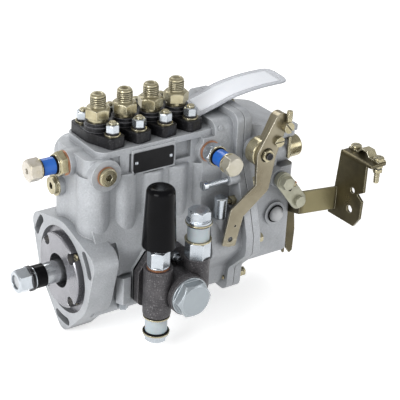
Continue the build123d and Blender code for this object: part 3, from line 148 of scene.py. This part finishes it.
def edge_mask(tree, edges):
    """1 along sharp edges, from how far the rounded normal turns away from the surface."""
    geometry = tree.nodes.new("ShaderNodeNewGeometry")
    dot = tree.nodes.new("ShaderNodeVectorMath")
    dot.operation = "DOT_PRODUCT"
    tree.links.new(edges, dot.inputs[0])
    tree.links.new(geometry.outputs["Normal"], dot.inputs[1])
    turned = calc(tree, "SUBTRACT", 1.0, dot.outputs["Value"])
    return map_range(tree, turned, from_low=0.02, from_high=0.25)


def painted_hollow_shade(tree, reach):
    """1 in corners and recesses, which get painted shade."""
    node = tree.nodes.new("ShaderNodeAmbientOcclusion")
    node.samples = 4
    node.inputs["Distance"].default_value = reach
    return map_range(tree, node.outputs["AO"], from_low=0.15, from_high=0.80, to_low=1.0, to_high=0.0)


def tool_marks(tree, at):
    """Fine rings round the camshaft's axis, as a lathe leaves them on faces and shafts."""
    parts = separate(tree, at)
    y = calc(tree, "MULTIPLY", parts["Y"], parts["Y"])
    z = calc(tree, "MULTIPLY", parts["Z"], parts["Z"])
    radius = calc(tree, "SQRT", calc(tree, "ADD", y, z))
    joined = tree.nodes.new("ShaderNodeCombineXYZ")
    tree.links.new(parts["X"], joined.inputs["X"])
    tree.links.new(radius, joined.inputs["Y"])
    return noise(tree, joined.outputs["Vector"], scale=2200.0, detail=2.0, rough=0.7)


# Materials. Each pattern follows the object's own coordinates.
def metal(name, colour, shade, wear_and_highlight, metallic, rough, grain=900.0, grain_depth=0.00012, blotch=35.0, edge=0.0006,
          shade_in_hollows=0.0, turned=False, specular=0.5, speckle=0.35, reach=0.012, sparkle=0.0):
    """A metal skin with blotches of colour, fine grain, brighter edges that are partly wear and partly painted
    highlight, optional painted glints, and painted shade in hollows.
    """
    material, tree, shader, at = new_material(name)
    blotches = noise(tree, at, blotch, detail=5.0, rough=0.6)
    fine = tool_marks(tree, at) if turned else noise(tree, at, grain, detail=3.0, rough=0.6)
    base = ramp(tree, blotches, [(0.30, shade), (0.62, colour)])
    speckled = mix(tree, map_range(tree, fine, to_high=speckle), base, shade)
    if sparkle > 0:
        # Painted glints: light dots mixed into the skin; the darker pits below are grain.
        painted_glints = ramp(tree, noise(tree, at, 620.0, detail=2.0, rough=0.6), [(0.56, BLACK), (0.72, WHITE)])
        speckled = mix(tree, calc(tree, "MULTIPLY", painted_glints, sparkle), speckled, wear_and_highlight)
        pits = ramp(tree, noise(tree, at, 540.0, detail=2.0, rough=0.6), [(0.28, WHITE), (0.44, BLACK)])
        speckled = mix(tree, calc(tree, "MULTIPLY", pits, sparkle), speckled, tuple(0.6 * c for c in shade))
    edges = soft_edges(tree, edge)
    # Brighter edges, partly wear and partly painted highlight.
    skin = mix(tree, edge_mask(tree, edges), speckled, wear_and_highlight)
    if shade_in_hollows > 0:
        # Painted shade: darken the skin in corners and recesses.
        hollow_shade_share = calc(tree, "MULTIPLY", painted_hollow_shade(tree, reach), shade_in_hollows)
        skin = mix(tree, hollow_shade_share, skin, tuple(0.25 * c for c in shade))
    tree.links.new(skin, shader.inputs["Base Color"])
    shader.inputs["Metallic"].default_value = metallic
    shader.inputs["Specular IOR Level"].default_value = specular
    roughness = map_range(tree, blotches, to_low=rough + 0.08, to_high=rough - 0.08)
    tree.links.new(roughness, shader.inputs["Roughness"])
    tree.links.new(bump(tree, fine, 0.5, grain_depth, edges), shader.inputs["Normal"])
    return material


def painted_light_on_arm(material, colour):
    """Painted light: blend a metal's skin towards a lighter, lit colour on the bracket's arm: X 278 to 318 mm, Z
    above 24 mm.
    """
    tree = material.node_tree
    shader = tree.nodes["Principled BSDF"]
    skin = shader.inputs["Base Color"].links[0].from_socket
    coords = tree.nodes.new("ShaderNodeTexCoord")
    parts = separate(tree, coords.outputs["Object"])
    share = 0.65
    for axis, none, full in (("X", 0.2755, 0.2800), ("X", 0.3190, 0.3165), ("Z", 0.0220, 0.0250)):
        share = calc(tree, "MULTIPLY", map_range(tree, parts[axis], from_low=none, from_high=full), share)
    tree.links.new(mix(tree, share, skin, colour), shader.inputs["Base Color"])


def plastic(name, colour, shade, rough, grain_depth=0.00002, subsurface=0.0, specular=0.5):
    """Moulded plastic, rubber or paper with faint flow marks."""
    material, tree, shader, at = new_material(name)
    cloudy = noise(tree, at, 60.0, detail=4.0, rough=0.5)
    fine = noise(tree, at, 600.0, detail=2.0, rough=0.5)
    tree.links.new(ramp(tree, cloudy, [(0.3, shade), (0.7, colour)]), shader.inputs["Base Color"])
    roughness = map_range(tree, cloudy, to_low=rough - 0.05, to_high=rough + 0.07)
    tree.links.new(roughness, shader.inputs["Roughness"])
    tree.links.new(bump(tree, fine, 0.4, grain_depth, soft_edges(tree, 0.0004)), shader.inputs["Normal"])
    shader.inputs["Specular IOR Level"].default_value = specular
    if subsurface > 0:
        shader.inputs["Subsurface Weight"].default_value = subsurface
        shader.inputs["Subsurface Scale"].default_value = 0.002
    return material


def film(name):
    """Clear film, a little cloudy, with faint wrinkles."""
    material, tree, shader, at = new_material(name)
    cloudy = noise(tree, at, 45.0, detail=4.0, rough=0.5)
    tint = ramp(tree, cloudy, [(0.3, (0.64, 0.66, 0.70)), (0.7, (0.74, 0.76, 0.80))])
    tree.links.new(tint, shader.inputs["Base Color"])
    tree.links.new(map_range(tree, cloudy, to_low=0.12, to_high=0.28), shader.inputs["Roughness"])
    tree.links.new(bump(tree, cloudy, 0.5, 0.0010), shader.inputs["Normal"])
    shader.inputs["Transmission Weight"].default_value = 0.35
    shader.inputs["IOR"].default_value = 1.12
    return material


lever_zinc = metal(
    "lever_passivate", colour=(0.36, 0.325, 0.235), shade=(0.165, 0.138, 0.088), wear_and_highlight=(0.78, 0.75, 0.63),
    metallic=0.65, rough=0.26, grain=1300.0, grain_depth=0.00006, blotch=15.0, edge=0.0012, shade_in_hollows=0.5)
grey_zinc = metal(
    "grey_passivate", colour=(0.46, 0.455, 0.355), shade=(0.33, 0.325, 0.245), wear_and_highlight=(0.64, 0.64, 0.55),
    metallic=0.5, rough=0.34, grain=1300.0, grain_depth=0.00006, blotch=60.0, edge=0.0009, shade_in_hollows=0.6)
pale_zinc = metal(
    "pale_passivate", colour=(0.66, 0.62, 0.56), shade=(0.46, 0.41, 0.29), wear_and_highlight=(0.84, 0.80, 0.70),
    metallic=0.5, rough=0.26, grain=1500.0, grain_depth=0.00004, blotch=70.0, edge=0.0010, shade_in_hollows=0.7, speckle=0.2)
warm_zinc = metal(
    "warm_passivate", colour=(0.56, 0.53, 0.45), shade=(0.44, 0.41, 0.31), wear_and_highlight=(0.86, 0.84, 0.76),
    metallic=0.6, rough=0.22, grain=1500.0, grain_depth=0.00004, blotch=50.0, edge=0.0010, shade_in_hollows=0.7, speckle=0.2)
# Painted shade: a darker copy of the bright zinc for the feed pump's plug.
shaded_plug_zinc = metal(
    "shaded_plug_zinc", colour=(0.37, 0.41, 0.435), shade=(0.33, 0.365, 0.39), wear_and_highlight=(0.80, 0.85, 0.90),
    metallic=0.6, rough=0.26, grain=1500.0, grain_depth=0.00003, blotch=30.0, edge=0.0014, shade_in_hollows=0.6, speckle=0.15)
matt_cap = metal(
    "matt_cap", colour=(0.52, 0.53, 0.545), shade=(0.42, 0.43, 0.44), wear_and_highlight=(0.72, 0.73, 0.74),
    metallic=0.2, rough=0.45, grain=1200.0, grain_depth=0.0001, blotch=60.0, edge=0.0006, shade_in_hollows=0.5)
# Painted shade: a dark sleeve under the outlet threads, so the grooves between the ridges read dark.
thread_root = metal(
    "thread_root", colour=(0.070, 0.060, 0.032), shade=(0.040, 0.034, 0.018), wear_and_highlight=(0.12, 0.105, 0.06),
    metallic=0.4, rough=0.5, grain=1200.0, grain_depth=0.00005, blotch=60.0, edge=0.0002)
paper = plastic(
    "pouch_paper", colour=(0.90, 0.92, 0.96), shade=(0.86, 0.89, 0.94), rough=0.6, grain_depth=0.00003, specular=0.1)

# The look of each slot of the record
looks = {
    "cast_aluminium": metal(
        "cast_skin", colour=(0.52, 0.54, 0.565), shade=(0.37, 0.385, 0.405), wear_and_highlight=(0.74, 0.77, 0.79),
        metallic=0.20, rough=0.42, grain=480.0, grain_depth=0.0011, blotch=34.0, edge=0.0014, shade_in_hollows=0.75,
        reach=0.020, speckle=0.9, sparkle=0.30),
    "cast_iron": metal(
        "iron_skin", colour=(0.115, 0.108, 0.112), shade=(0.040, 0.038, 0.042), wear_and_highlight=(0.34, 0.33, 0.34),
        metallic=0.4, rough=0.46, grain=850.0, grain_depth=0.0006, blotch=60.0, edge=0.0008, shade_in_hollows=0.6,
        speckle=0.8, sparkle=0.55),
    "grey_iron": metal(
        "turned_iron", colour=(0.36, 0.36, 0.385), shade=(0.24, 0.24, 0.26), wear_and_highlight=(0.70, 0.71, 0.74),
        metallic=0.7, rough=0.26, grain_depth=0.00006, blotch=30.0, edge=0.0006, shade_in_hollows=0.5, turned=True,
        speckle=0.4),
    "black_steel": metal(
        "black_oxide", colour=(0.020, 0.020, 0.023), shade=(0.008, 0.008, 0.009), wear_and_highlight=(0.30, 0.30, 0.32),
        metallic=0.2, rough=0.30, grain=700.0, grain_depth=0.0004, blotch=90.0, edge=0.0011, shade_in_hollows=0.6,
        specular=0.25, speckle=0.7, sparkle=0.16),
    "black_plate": metal(
        "plate_enamel", colour=(0.014, 0.014, 0.015), shade=(0.009, 0.009, 0.010), wear_and_highlight=(0.10, 0.10, 0.105),
        metallic=0.1, rough=0.36, grain=700.0, grain_depth=0.00004, blotch=60.0, edge=0.0003, specular=0.12),
    "yellow_zinc": metal(
        "yellow_passivate", colour=(0.56, 0.515, 0.355), shade=(0.31, 0.265, 0.150), wear_and_highlight=(0.88, 0.85, 0.72),
        metallic=0.75, rough=0.22, grain=1500.0, grain_depth=0.00006, blotch=60.0, edge=0.0008, shade_in_hollows=0.95),
    "olive_zinc": metal(
        "olive_passivate", colour=(0.125, 0.105, 0.055), shade=(0.060, 0.050, 0.026), wear_and_highlight=(0.52, 0.48, 0.34),
        metallic=0.7, rough=0.30, grain=1100.0, grain_depth=0.0001, blotch=35.0, edge=0.0010, shade_in_hollows=0.5),
    "clear_zinc": metal(
        "bright_zinc", colour=(0.56, 0.60, 0.64), shade=(0.44, 0.475, 0.51), wear_and_highlight=(0.88, 0.91, 0.94),
        metallic=0.85, rough=0.20, grain=1500.0, grain_depth=0.00005, blotch=50.0, edge=0.0009, shade_in_hollows=0.85,
        speckle=0.2),
    "machined_steel": metal(
        "turned_steel", colour=(0.60, 0.62, 0.645), shade=(0.36, 0.375, 0.39), wear_and_highlight=(0.86, 0.87, 0.88),
        metallic=0.85, rough=0.18, grain_depth=0.00006, blotch=120.0, edge=0.0004, shade_in_hollows=0.7, turned=True,
        speckle=0.8),
    "copper": metal(
        "soft_copper", colour=(0.50, 0.23, 0.12), shade=(0.34, 0.14, 0.07), wear_and_highlight=(0.70, 0.42, 0.28),
        metallic=0.6, rough=0.32, grain=1400.0, grain_depth=0.00005, blotch=130.0, edge=0.0004),
    "blue_plastic": plastic(
        "blue_cap", colour=(0.030, 0.150, 0.56), shade=(0.020, 0.115, 0.46), rough=0.22, subsurface=0.1,
        specular=0.35),
    "white_plastic": plastic(
        "white_cap", colour=(0.52, 0.58, 0.61), shade=(0.42, 0.48, 0.51), rough=0.35, subsurface=0.2, specular=0.3),
    "black_plastic": plastic(
        "knob_plastic", colour=(0.0045, 0.0045, 0.0055), shade=(0.0030, 0.0030, 0.0035), rough=0.16,
        specular=0.08),
    "black_rubber": plastic(
        "seal_rubber", colour=(0.010, 0.010, 0.011), shade=(0.006, 0.006, 0.007), rough=0.55, grain_depth=0.00006,
        specular=0.06),
    "clear_pouch": film("pouch_film"),
}
# Painted light on the bracket's arm; the rest of the bracket keeps the darker tone.
painted_light_on_arm(looks["olive_zinc"], (0.30, 0.265, 0.14))

# Nodes whose look differs from their slot's
own_looks = {
    "speed_lever": lever_zinc, "stop_lever": grey_zinc, "stop_lever_bolts": grey_zinc, "inlet_bolt": pale_zinc,
    "return_bolt": warm_zinc, "cover_plug": matt_cap, "feed_pump_plug": shaded_plug_zinc,
}
for name, node in nodes.items():
    for place, old in enumerate(node.data.materials):
        node.data.materials[place] = own_looks.get(name, looks[old.name.split(".")[0]])


# Makers of the pieces that the solids leave out. Lengths are in mm.
def facing(origin, axis):
    """Place for a piece built on local Z, in mm, that points along an axis."""
    turn = Vector((0, 0, 1)).rotation_difference(Vector(axis)).to_matrix().to_4x4()
    return Matrix.Translation(Vector(origin) * MM) @ turn @ Matrix.Scale(MM, 4)


def add_piece(name, verts, faces, slot, body, smooth=True, material=None):
    mesh = bpy.data.meshes.new(name)
    mesh.from_pydata([tuple(v) for v in verts], [], faces)
    mesh.materials.append(material or looks[slot])
    work = bmesh.new()
    work.from_mesh(mesh)
    bmesh.ops.recalc_face_normals(work, faces=work.faces)
    work.to_mesh(mesh)
    work.free()
    for polygon in mesh.polygons:
        polygon.use_smooth = smooth
    piece = bpy.data.objects.new(name, mesh)
    bpy.context.scene.collection.objects.link(piece)
    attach(piece, body)
    return piece


def thread(name, place, radius, length, pitch, depth, slot, body):
    """Helical ridge round a plain cylinder, fading out at both ends."""
    steps = 28
    sink = 0.15
    foot_height = 0.42
    crest_height = 0.07
    count = int(steps * length / pitch)
    verts = []
    faces = []
    for i in range(count + 1):
        angle = 2 * math.pi * i / steps
        middle = pitch * i / steps
        crest = radius + depth * min(1.0, 2.0 * i / steps, 2.0 * (count - i) / steps)
        root = radius - sink
        for reach, height in ((root, -foot_height), (crest, -crest_height), (crest, crest_height),
                              (root, foot_height)):
            local = Vector((reach * math.cos(angle), reach * math.sin(angle), middle + height * pitch))
            verts.append(place @ local)
    for i in range(count):
        a = 4 * i
        b = a + 4
        for k in range(4):
            n = (k + 1) % 4
            faces.append((a + k, b + k, b + n, a + n))
    faces.append((0, 1, 2, 3))
    faces.append((4 * count, 4 * count + 1, 4 * count + 2, 4 * count + 3))
    return add_piece(name, verts, faces, slot, body, smooth=False)


def lathe(name, place, profile, slot, body, steps=48, ring=False, material=None):
    """Turned piece from radius and height pairs; a ring's profile closes on itself."""
    verts = []
    for radius, height in profile:
        for k in range(steps):
            angle = 2 * math.pi * k / steps
            verts.append(place @ Vector((radius * math.cos(angle), radius * math.sin(angle), height)))
    faces = []
    rows = len(profile)
    for i in range(rows if ring else rows - 1):
        a = i * steps
        b = ((i + 1) % rows) * steps
        for k in range(steps):
            n = (k + 1) % steps
            faces.append((a + k, a + n, b + n, b + k))
    if not ring:
        faces.append(tuple(range(steps)))
        faces.append(tuple(range((rows - 1) * steps, rows * steps)))
    return add_piece(name, verts, faces, slot, body, material=material)


def torus(name, place, radius, thick, height, slot, body):
    """Round ring about local Z."""
    corners = 12
    profile = []
    for k in range(corners):
        angle = 2 * math.pi * k / corners
        profile.append((radius + thick * math.cos(angle), height + thick * math.sin(angle)))
    return lathe(name, place, profile, slot, body, ring=True)


def slab(name, corners, y0, y1, slot, body, material=None):
    """Outline in XZ, drawn out along Y."""
    count = len(corners)
    verts = [Vector((x, y, z)) * MM for y in (y0, y1) for x, z in corners]
    faces = [tuple(range(count)), tuple(range(2 * count - 1, count - 1, -1))]
    faces += [(k, (k + 1) % count, count + (k + 1) % count, count + k) for k in range(count)]
    return add_piece(name, verts, faces, slot, body, smooth=False, material=material)


# Axes and places that pieces share
UP = (0, 0, 1)
DOWN = (0, 0, -1)
TO_FRONT = (0, -1, 0)
TO_COVER = (1, 0, 0)
TO_DRIVE = (-1, 0, 0)
HEXAGON = 6

OUTLET_FIRST_X = 42.0
OUTLET_SPACING = 32.0
OUTLET_THREAD_Z = 183.0
OUTLET_RADIUS = 8.05
STUD_REACH = 23.0
STUD_TURN = math.radians(-79.0)
STUD_THREAD_Z = 169.3

CLAMP_SCREW = (337.28, -113.0)
PLATE_CENTRE_X = 88.0
PLATE_RIVET_REACH = 21.15
PUMP_TOWER = (65.0, -88.0)
FOOT_BOLT = (-39.2, -44.0)
STOP_CLAMP = facing((258.0, -63.5, 67.0), (0.79, 0, 0.61))

# Threads of the outlets, the studs, the swivel pin and the long screws
for i in range(4):
    outlet_x = OUTLET_FIRST_X + OUTLET_SPACING * i
    outlet = facing((outlet_x, 0, OUTLET_THREAD_Z), UP)
    # Painted shade in the thread grooves: a dark sleeve under each ridge.
    lathe(f"outlet_groove_shade_{i + 1}", outlet,
          [(8.0, 0.0), (OUTLET_RADIUS, 0.1), (OUTLET_RADIUS, 10.0), (8.0, 10.1)], "yellow_zinc", "pump",
          material=thread_root)
    thread(f"outlet_thread_{i + 1}", outlet, radius=OUTLET_RADIUS, length=10.0, pitch=2.1, depth=0.6,
           slot="yellow_zinc", body="pump")
    for side, end_name in ((1, "front"), (-1, "rear")):
        stud = (outlet_x + side * STUD_REACH * math.cos(STUD_TURN), side * STUD_REACH * math.sin(STUD_TURN),
                STUD_THREAD_Z)
        thread(f"stud_thread_{i + 1}_{end_name}", facing(stud, UP), radius=3.9, length=2.0, pitch=1.0, depth=0.25,
               slot="yellow_zinc", body="pump")
thread("swivel_pin_thread", facing((233.0, -78.0, 157.5), UP), radius=3.2, length=8.5, pitch=1.0, depth=0.3,
       slot="yellow_zinc", body="speed_lever_group")
thread("clamp_screw_thread", facing((*CLAMP_SCREW, 73.4), UP), radius=3.0, length=17.0, pitch=1.4, depth=0.4,
       slot="yellow_zinc", body="pump")
lathe("clamp_screw_nut", facing((*CLAMP_SCREW, 85.6), UP), [(5.3, 0.0), (5.8, 0.6), (5.8, 4.2), (5.3, 4.8)],
      "yellow_zinc", "pump", steps=HEXAGON)
lathe("clamp_screw_washer", facing((*CLAMP_SCREW, 90.4), UP), [(4.9, 0.0), (5.2, 0.3), (5.2, 1.6), (4.9, 1.9)],
      "black_steel", "pump", steps=32)
thread("stop_screw_thread", facing((149.0, -52.0, 88.0), TO_COVER), radius=3.0, length=25.0, pitch=1.0, depth=0.3,
       slot="clear_zinc", body="pump")

# Plate rivets, plug ring and cap, primer base, bolt end, casting marks, spring end and clip
for side, name in ((-1, "left"), (1, "right")):
    lathe(f"plate_rivet_{name}", facing((PLATE_CENTRE_X + side * PLATE_RIVET_REACH, -38.25, 126.5), TO_FRONT),
          [(2.1, 0.0), (2.1, 0.25), (1.8, 0.7), (1.2, 1.0), (0.5, 1.15)], "clear_zinc", "pump", steps=24)
torus("plug_seal", facing((248.5, -48.0, 26.5), TO_FRONT), radius=9.7, thick=0.8, height=1.3,
      slot="black_rubber", body="pump")
lathe("plug_cap", facing((248.5, -48.2, 26.5), TO_FRONT),
      [(9.0, 0.0), (9.0, 2.0), (8.5, 3.8), (7.0, 5.8), (4.6, 7.2), (1.8, 7.8)], "clear_zinc", "pump",
      material=matt_cap)
lathe("primer_base", facing((*PUMP_TOWER, 30.0), UP),
      [(11.2, 0.0), (11.7, 0.4), (11.7, 1.6), (11.0, 2.2), (9.0, 2.2)], "clear_zinc", "pump")
lathe("foot_bolt_end", facing((187.2, *FOOT_BOLT), TO_DRIVE), [(3.0, 0.0), (3.0, 1.6), (2.5, 2.2), (1.0, 2.3)],
      "yellow_zinc", "pump", steps=24)
torus("casting_ring", facing((176.0, -41.0, 131.5), TO_FRONT), radius=3.6, thick=0.45, height=0.0,
      slot="cast_aluminium", body="pump")
lathe("casting_boss", facing((169.5, -40.8, 146.0), TO_FRONT),
      [(3.4, 0.0), (3.1, 1.1), (2.6, 1.4), (1.6, 1.0), (0.5, 1.0)], "cast_aluminium", "pump", steps=28)
torus("tower_parting_line", facing((*PUMP_TOWER, -13.0), UP), radius=15.2, thick=0.35, height=0.0,
      slot="cast_iron", body="pump")
torus("hub_spring_end", facing((209.0, -54.4, 119.0), TO_FRONT), radius=13.2, thick=1.0, height=0.6,
      slot="black_steel", body="pump")
slab("spring_clip", [(260.6, 93.0), (263.8, 92.4), (263.8, 118.2), (260.6, 118.2)], y0=-47.4, y1=-44.6,
     slot="yellow_zinc", body="pump")

# Square end of the speed lever, cut with sharp corners past the cable hole
lever_end = Vector((167.0, 27.0))
lever_along = Vector((-0.2272, -0.9738))
lever_across = Vector((0.9738, -0.2272))
lever_foot = [(-9.0, 0.0), (-4.0, 0.0), (-4.0, 4.2), (4.0, 4.2), (4.0, 0.0), (9.0, 0.0), (9.0, 7.0), (8.0, 8.0),
              (-8.0, 8.0), (-9.0, 7.0)]
slab("speed_lever_foot", [tuple(lever_end + lever_across * a + lever_along * b) for a, b in lever_foot],
     y0=-72.35, y1=-74.65, slot="yellow_zinc", body="speed_lever_group", material=lever_zinc)

# Bolt under the lug, head of the foot bolt behind the rim, the stop lever's clamp nut and stud, and painted shade in
# its bore
lathe("lug_bolt", facing((47.0, -49.0, -28.0), DOWN), [(6.9, 0.0), (6.9, 1.4), (6.0, 1.6), (6.0, 8.2), (5.2, 9.0)],
      "clear_zinc", "pump", steps=HEXAGON)
lathe("foot_bolt_cap", facing((211.9, *FOOT_BOLT), TO_COVER), [(5.7, 0.0), (5.7, 3.4), (5.0, 4.0)], "yellow_zinc",
      "pump", steps=HEXAGON)
lathe("stop_clamp_nut", STOP_CLAMP, [(3.7, 0.0), (3.7, 3.0), (3.2, 3.3)], "yellow_zinc", "stop_lever_group",
      steps=HEXAGON)
lathe("stop_clamp_stud", STOP_CLAMP, [(2.0, 3.0), (2.0, 4.8), (1.5, 5.3)], "copper", "stop_lever_group", steps=20)
# Painted shade: a thin black disc for the shade inside the stop lever's bore.
lathe("stop_lever_bore_shade", facing((253.7, -64.95, 63.2), TO_FRONT), [(2.5, 0.0), (2.5, 0.15), (2.2, 0.2)],
      "black_rubber", "stop_lever_group", steps=28)

# Clear pouch with blank paper, bent over the governor
POUCH_LINE = [(163.0, 153.75), (187.0, 160.75), (211.0, 167.9), (245.0, 172.0), (282.0, 172.2)]
POUCH_LENGTH = 119.0
POUCH_FRONT_Y = -20.0
POUCH_BACK_Y = 26.0
POUCH_SKEW_LOW = 11.0
POUCH_SKEW_FALL = 7.0


def pouch_line(share):
    """Point of the pouch's middle line and its upward normal, from the low end to the free end."""
    place = share * (len(POUCH_LINE) - 1)
    k = min(int(place), len(POUCH_LINE) - 2)
    t = place - k
    before = POUCH_LINE[max(k - 1, 0)]
    a, b = POUCH_LINE[k], POUCH_LINE[k + 1]
    after = POUCH_LINE[min(k + 2, len(POUCH_LINE) - 1)]
    value = []
    slope = []
    for axis in (0, 1):
        m0 = (b[axis] - before[axis]) / 2
        m1 = (after[axis] - a[axis]) / 2
        value.append((2 * t**3 - 3 * t**2 + 1) * a[axis] + (t**3 - 2 * t**2 + t) * m0
                     + (3 * t**2 - 2 * t**3) * b[axis] + (t**3 - t**2) * m1)
        slope.append((6 * t**2 - 6 * t) * a[axis] + (3 * t**2 - 4 * t + 1) * m0
                     + (6 * t - 6 * t**2) * b[axis] + (3 * t**2 - 2 * t) * m1)
    size = math.hypot(*slope)
    return value[0], value[1], -slope[1] / size, slope[0] / size


def strip(name, start, end, y0, y1, corner, thick, slot, material=None):
    """Bent sheet along the pouch's line, with round corners at its free end."""
    rows = 48
    columns = 12
    verts = []
    for side in (0.5, -0.5):
        for i in range(rows + 1):
            share = start + (end - start) * i / rows
            left = (end - share) * POUCH_LENGTH
            cut = 0.0
            if left < corner:
                cut = corner - math.sqrt(max(corner**2 - (corner - left)**2, 0.0))
            x, z, nx, nz = pouch_line(share)
            for j in range(columns + 1):
                y = (y0 + cut) + (y1 - y0 - 2 * cut) * j / columns
                lift = side * thick
                skew = ((y - POUCH_BACK_Y) / (POUCH_BACK_Y - POUCH_FRONT_Y)
                        * (POUCH_SKEW_LOW - POUCH_SKEW_FALL * share))
                verts.append(Vector((x + nx * lift + skew, y, z + nz * lift)) * MM)
    width = columns + 1
    count = (rows + 1) * width
    faces = []
    for i in range(rows):
        for j in range(columns):
            a = i * width + j
            faces.append((a, a + 1, a + width + 1, a + width))
            faces.append((count + a, count + a + width, count + a + width + 1, count + a + 1))
    rim = [j for j in range(width)] + [i * width + columns for i in range(1, rows + 1)]
    rim += [rows * width + j for j in range(columns - 1, -1, -1)] + [i * width for i in range(rows - 1, 0, -1)]
    for k, a in enumerate(rim):
        b = rim[(k + 1) % len(rim)]
        faces.append((a, b, count + b, count + a))
    return add_piece(name, verts, faces, slot, "pump", material=material)


pouch = strip("pouch_film_strip", start=0.0, end=1.0, y0=POUCH_FRONT_Y, y1=POUCH_BACK_Y, corner=13.0, thick=1.0,
              slot="clear_pouch")
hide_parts("shipping_tag")
strip("pouch_sheet", start=0.10, end=0.92, y0=-13.0, y1=19.0, corner=0.0, thick=1.1, slot="clear_pouch",
      material=paper)


# Floor and light
def area_light(name, place, target, size, power):
    data = bpy.data.lights.new(name, "AREA")
    data.shape = "RECTANGLE"
    data.size, data.size_y = size
    data.energy = power
    lamp = bpy.data.objects.new(name, data)
    bpy.context.scene.collection.objects.link(lamp)
    lamp.location = place
    lamp.rotation_mode = "QUATERNION"
    lamp.rotation_quaternion = (Vector(target) - Vector(place)).to_track_quat("-Z", "Y")


def seen_directly(tree):
    """1 for camera, mirror and glass rays, which are to see the white background."""
    path = tree.nodes.new("ShaderNodeLightPath")
    seen = calc(tree, "MAXIMUM", path.outputs["Is Camera Ray"], path.outputs["Is Glossy Ray"])
    return calc(tree, "MAXIMUM", seen, path.outputs["Is Transmission Ray"])


def make_floor(z):
    """White paper that takes the shadow and glows for the rays that see it directly."""
    half = 6.0
    paper_white = 0.86
    glow_level = 0.55
    mesh = bpy.data.meshes.new("floor")
    mesh.from_pydata([(-half, -half, z), (half, -half, z), (half, half, z), (-half, half, z)], [], [(0, 1, 2, 3)])
    floor = bpy.data.objects.new("floor", mesh)
    bpy.context.scene.collection.objects.link(floor)
    material, tree, shader, _ = new_material("floor_paper")
    tree.nodes.remove(shader)
    diffuse = tree.nodes.new("ShaderNodeBsdfDiffuse")
    diffuse.inputs["Color"].default_value = (paper_white, paper_white, paper_white, 1.0)
    glow = tree.nodes.new("ShaderNodeEmission")
    tree.links.new(calc(tree, "MULTIPLY", seen_directly(tree), glow_level), glow.inputs["Strength"])
    added = tree.nodes.new("ShaderNodeAddShader")
    tree.links.new(diffuse.outputs[0], added.inputs[0])
    tree.links.new(glow.outputs[0], added.inputs[1])
    tree.links.new(added.outputs[0], tree.nodes["Material Output"].inputs["Surface"])
    mesh.materials.append(material)


def make_world():
    """Plain light for the surfaces. Seen directly, it is white at the horizon and dimmer overhead."""
    plain_level = 0.5
    world = bpy.data.worlds.new("studio")
    world.use_nodes = True
    tree = world.node_tree
    backdrop = tree.nodes["Background"]
    backdrop.inputs["Color"].default_value = (*WHITE, 1.0)
    coords = tree.nodes.new("ShaderNodeTexCoord")
    height = separate(tree, coords.outputs["Generated"])["Z"]
    sky = ramp(tree, height, [(0.0, WHITE), (0.25, (0.7, 0.7, 0.7)), (0.55, (0.42, 0.42, 0.42))])
    seen = seen_directly(tree)
    plain = calc(tree, "MULTIPLY", calc(tree, "SUBTRACT", 1.0, seen), plain_level)
    strength = calc(tree, "ADD", calc(tree, "MULTIPLY", seen, sky), plain)
    tree.links.new(strength, backdrop.inputs["Strength"])
    bpy.context.scene.world = world


FLOOR_GAP = 0.002
make_floor(cad_low.z - FLOOR_GAP)
make_world()
area_light("key", place=(-1.6, -0.65, 0.85), target=(0.12, 0, 0.05), size=(1.0, 1.0), power=27)
area_light("fill", place=(1.1, -1.2, 0.5), target=(0.15, 0, 0.05), size=(0.8, 0.8), power=4)
area_light("rim", place=(0.3, 1.2, 1.2), target=(0.15, 0, 0.05), size=(1.0, 0.6), power=8)

# Camera, as fitted to the photo
SENSOR_WIDTH = 36.0
PHOTO_WIDTH = 400.0
FOCAL_PIXELS = 1237.7
CAMERA_DISTANCE = 1403.9
CAMERA_TARGET = (176.9, 0.0, 39.6)
azimuth = math.radians(-35.6)
elevation = math.radians(26.9)
roll = math.radians(3.0)

camera_data = bpy.data.cameras.new("camera")
camera = bpy.data.objects.new("camera", camera_data)
bpy.context.scene.collection.objects.link(camera)
camera_data.sensor_width = SENSOR_WIDTH
camera_data.lens = SENSOR_WIDTH * FOCAL_PIXELS / PHOTO_WIDTH
camera_data.clip_end = 20.0
back = Vector((math.sin(azimuth) * math.cos(elevation), -math.cos(azimuth) * math.cos(elevation),
               math.sin(elevation)))
right = (-back).cross(Vector((0, 0, 1))).normalized()
up = right.cross(-back)
right_rolled = math.cos(roll) * right + math.sin(roll) * up
up_rolled = math.cos(roll) * up - math.sin(roll) * right
place = Vector(CAMERA_TARGET) * MM + back * CAMERA_DISTANCE * MM
camera.matrix_world = Matrix((
    (right_rolled.x, up_rolled.x, back.x, place.x),
    (right_rolled.y, up_rolled.y, back.y, place.y),
    (right_rolled.z, up_rolled.z, back.z, place.z),
    (0, 0, 0, 1)))
bpy.context.scene.camera = camera
bpy.context.scene.view_settings.view_transform = "Standard"
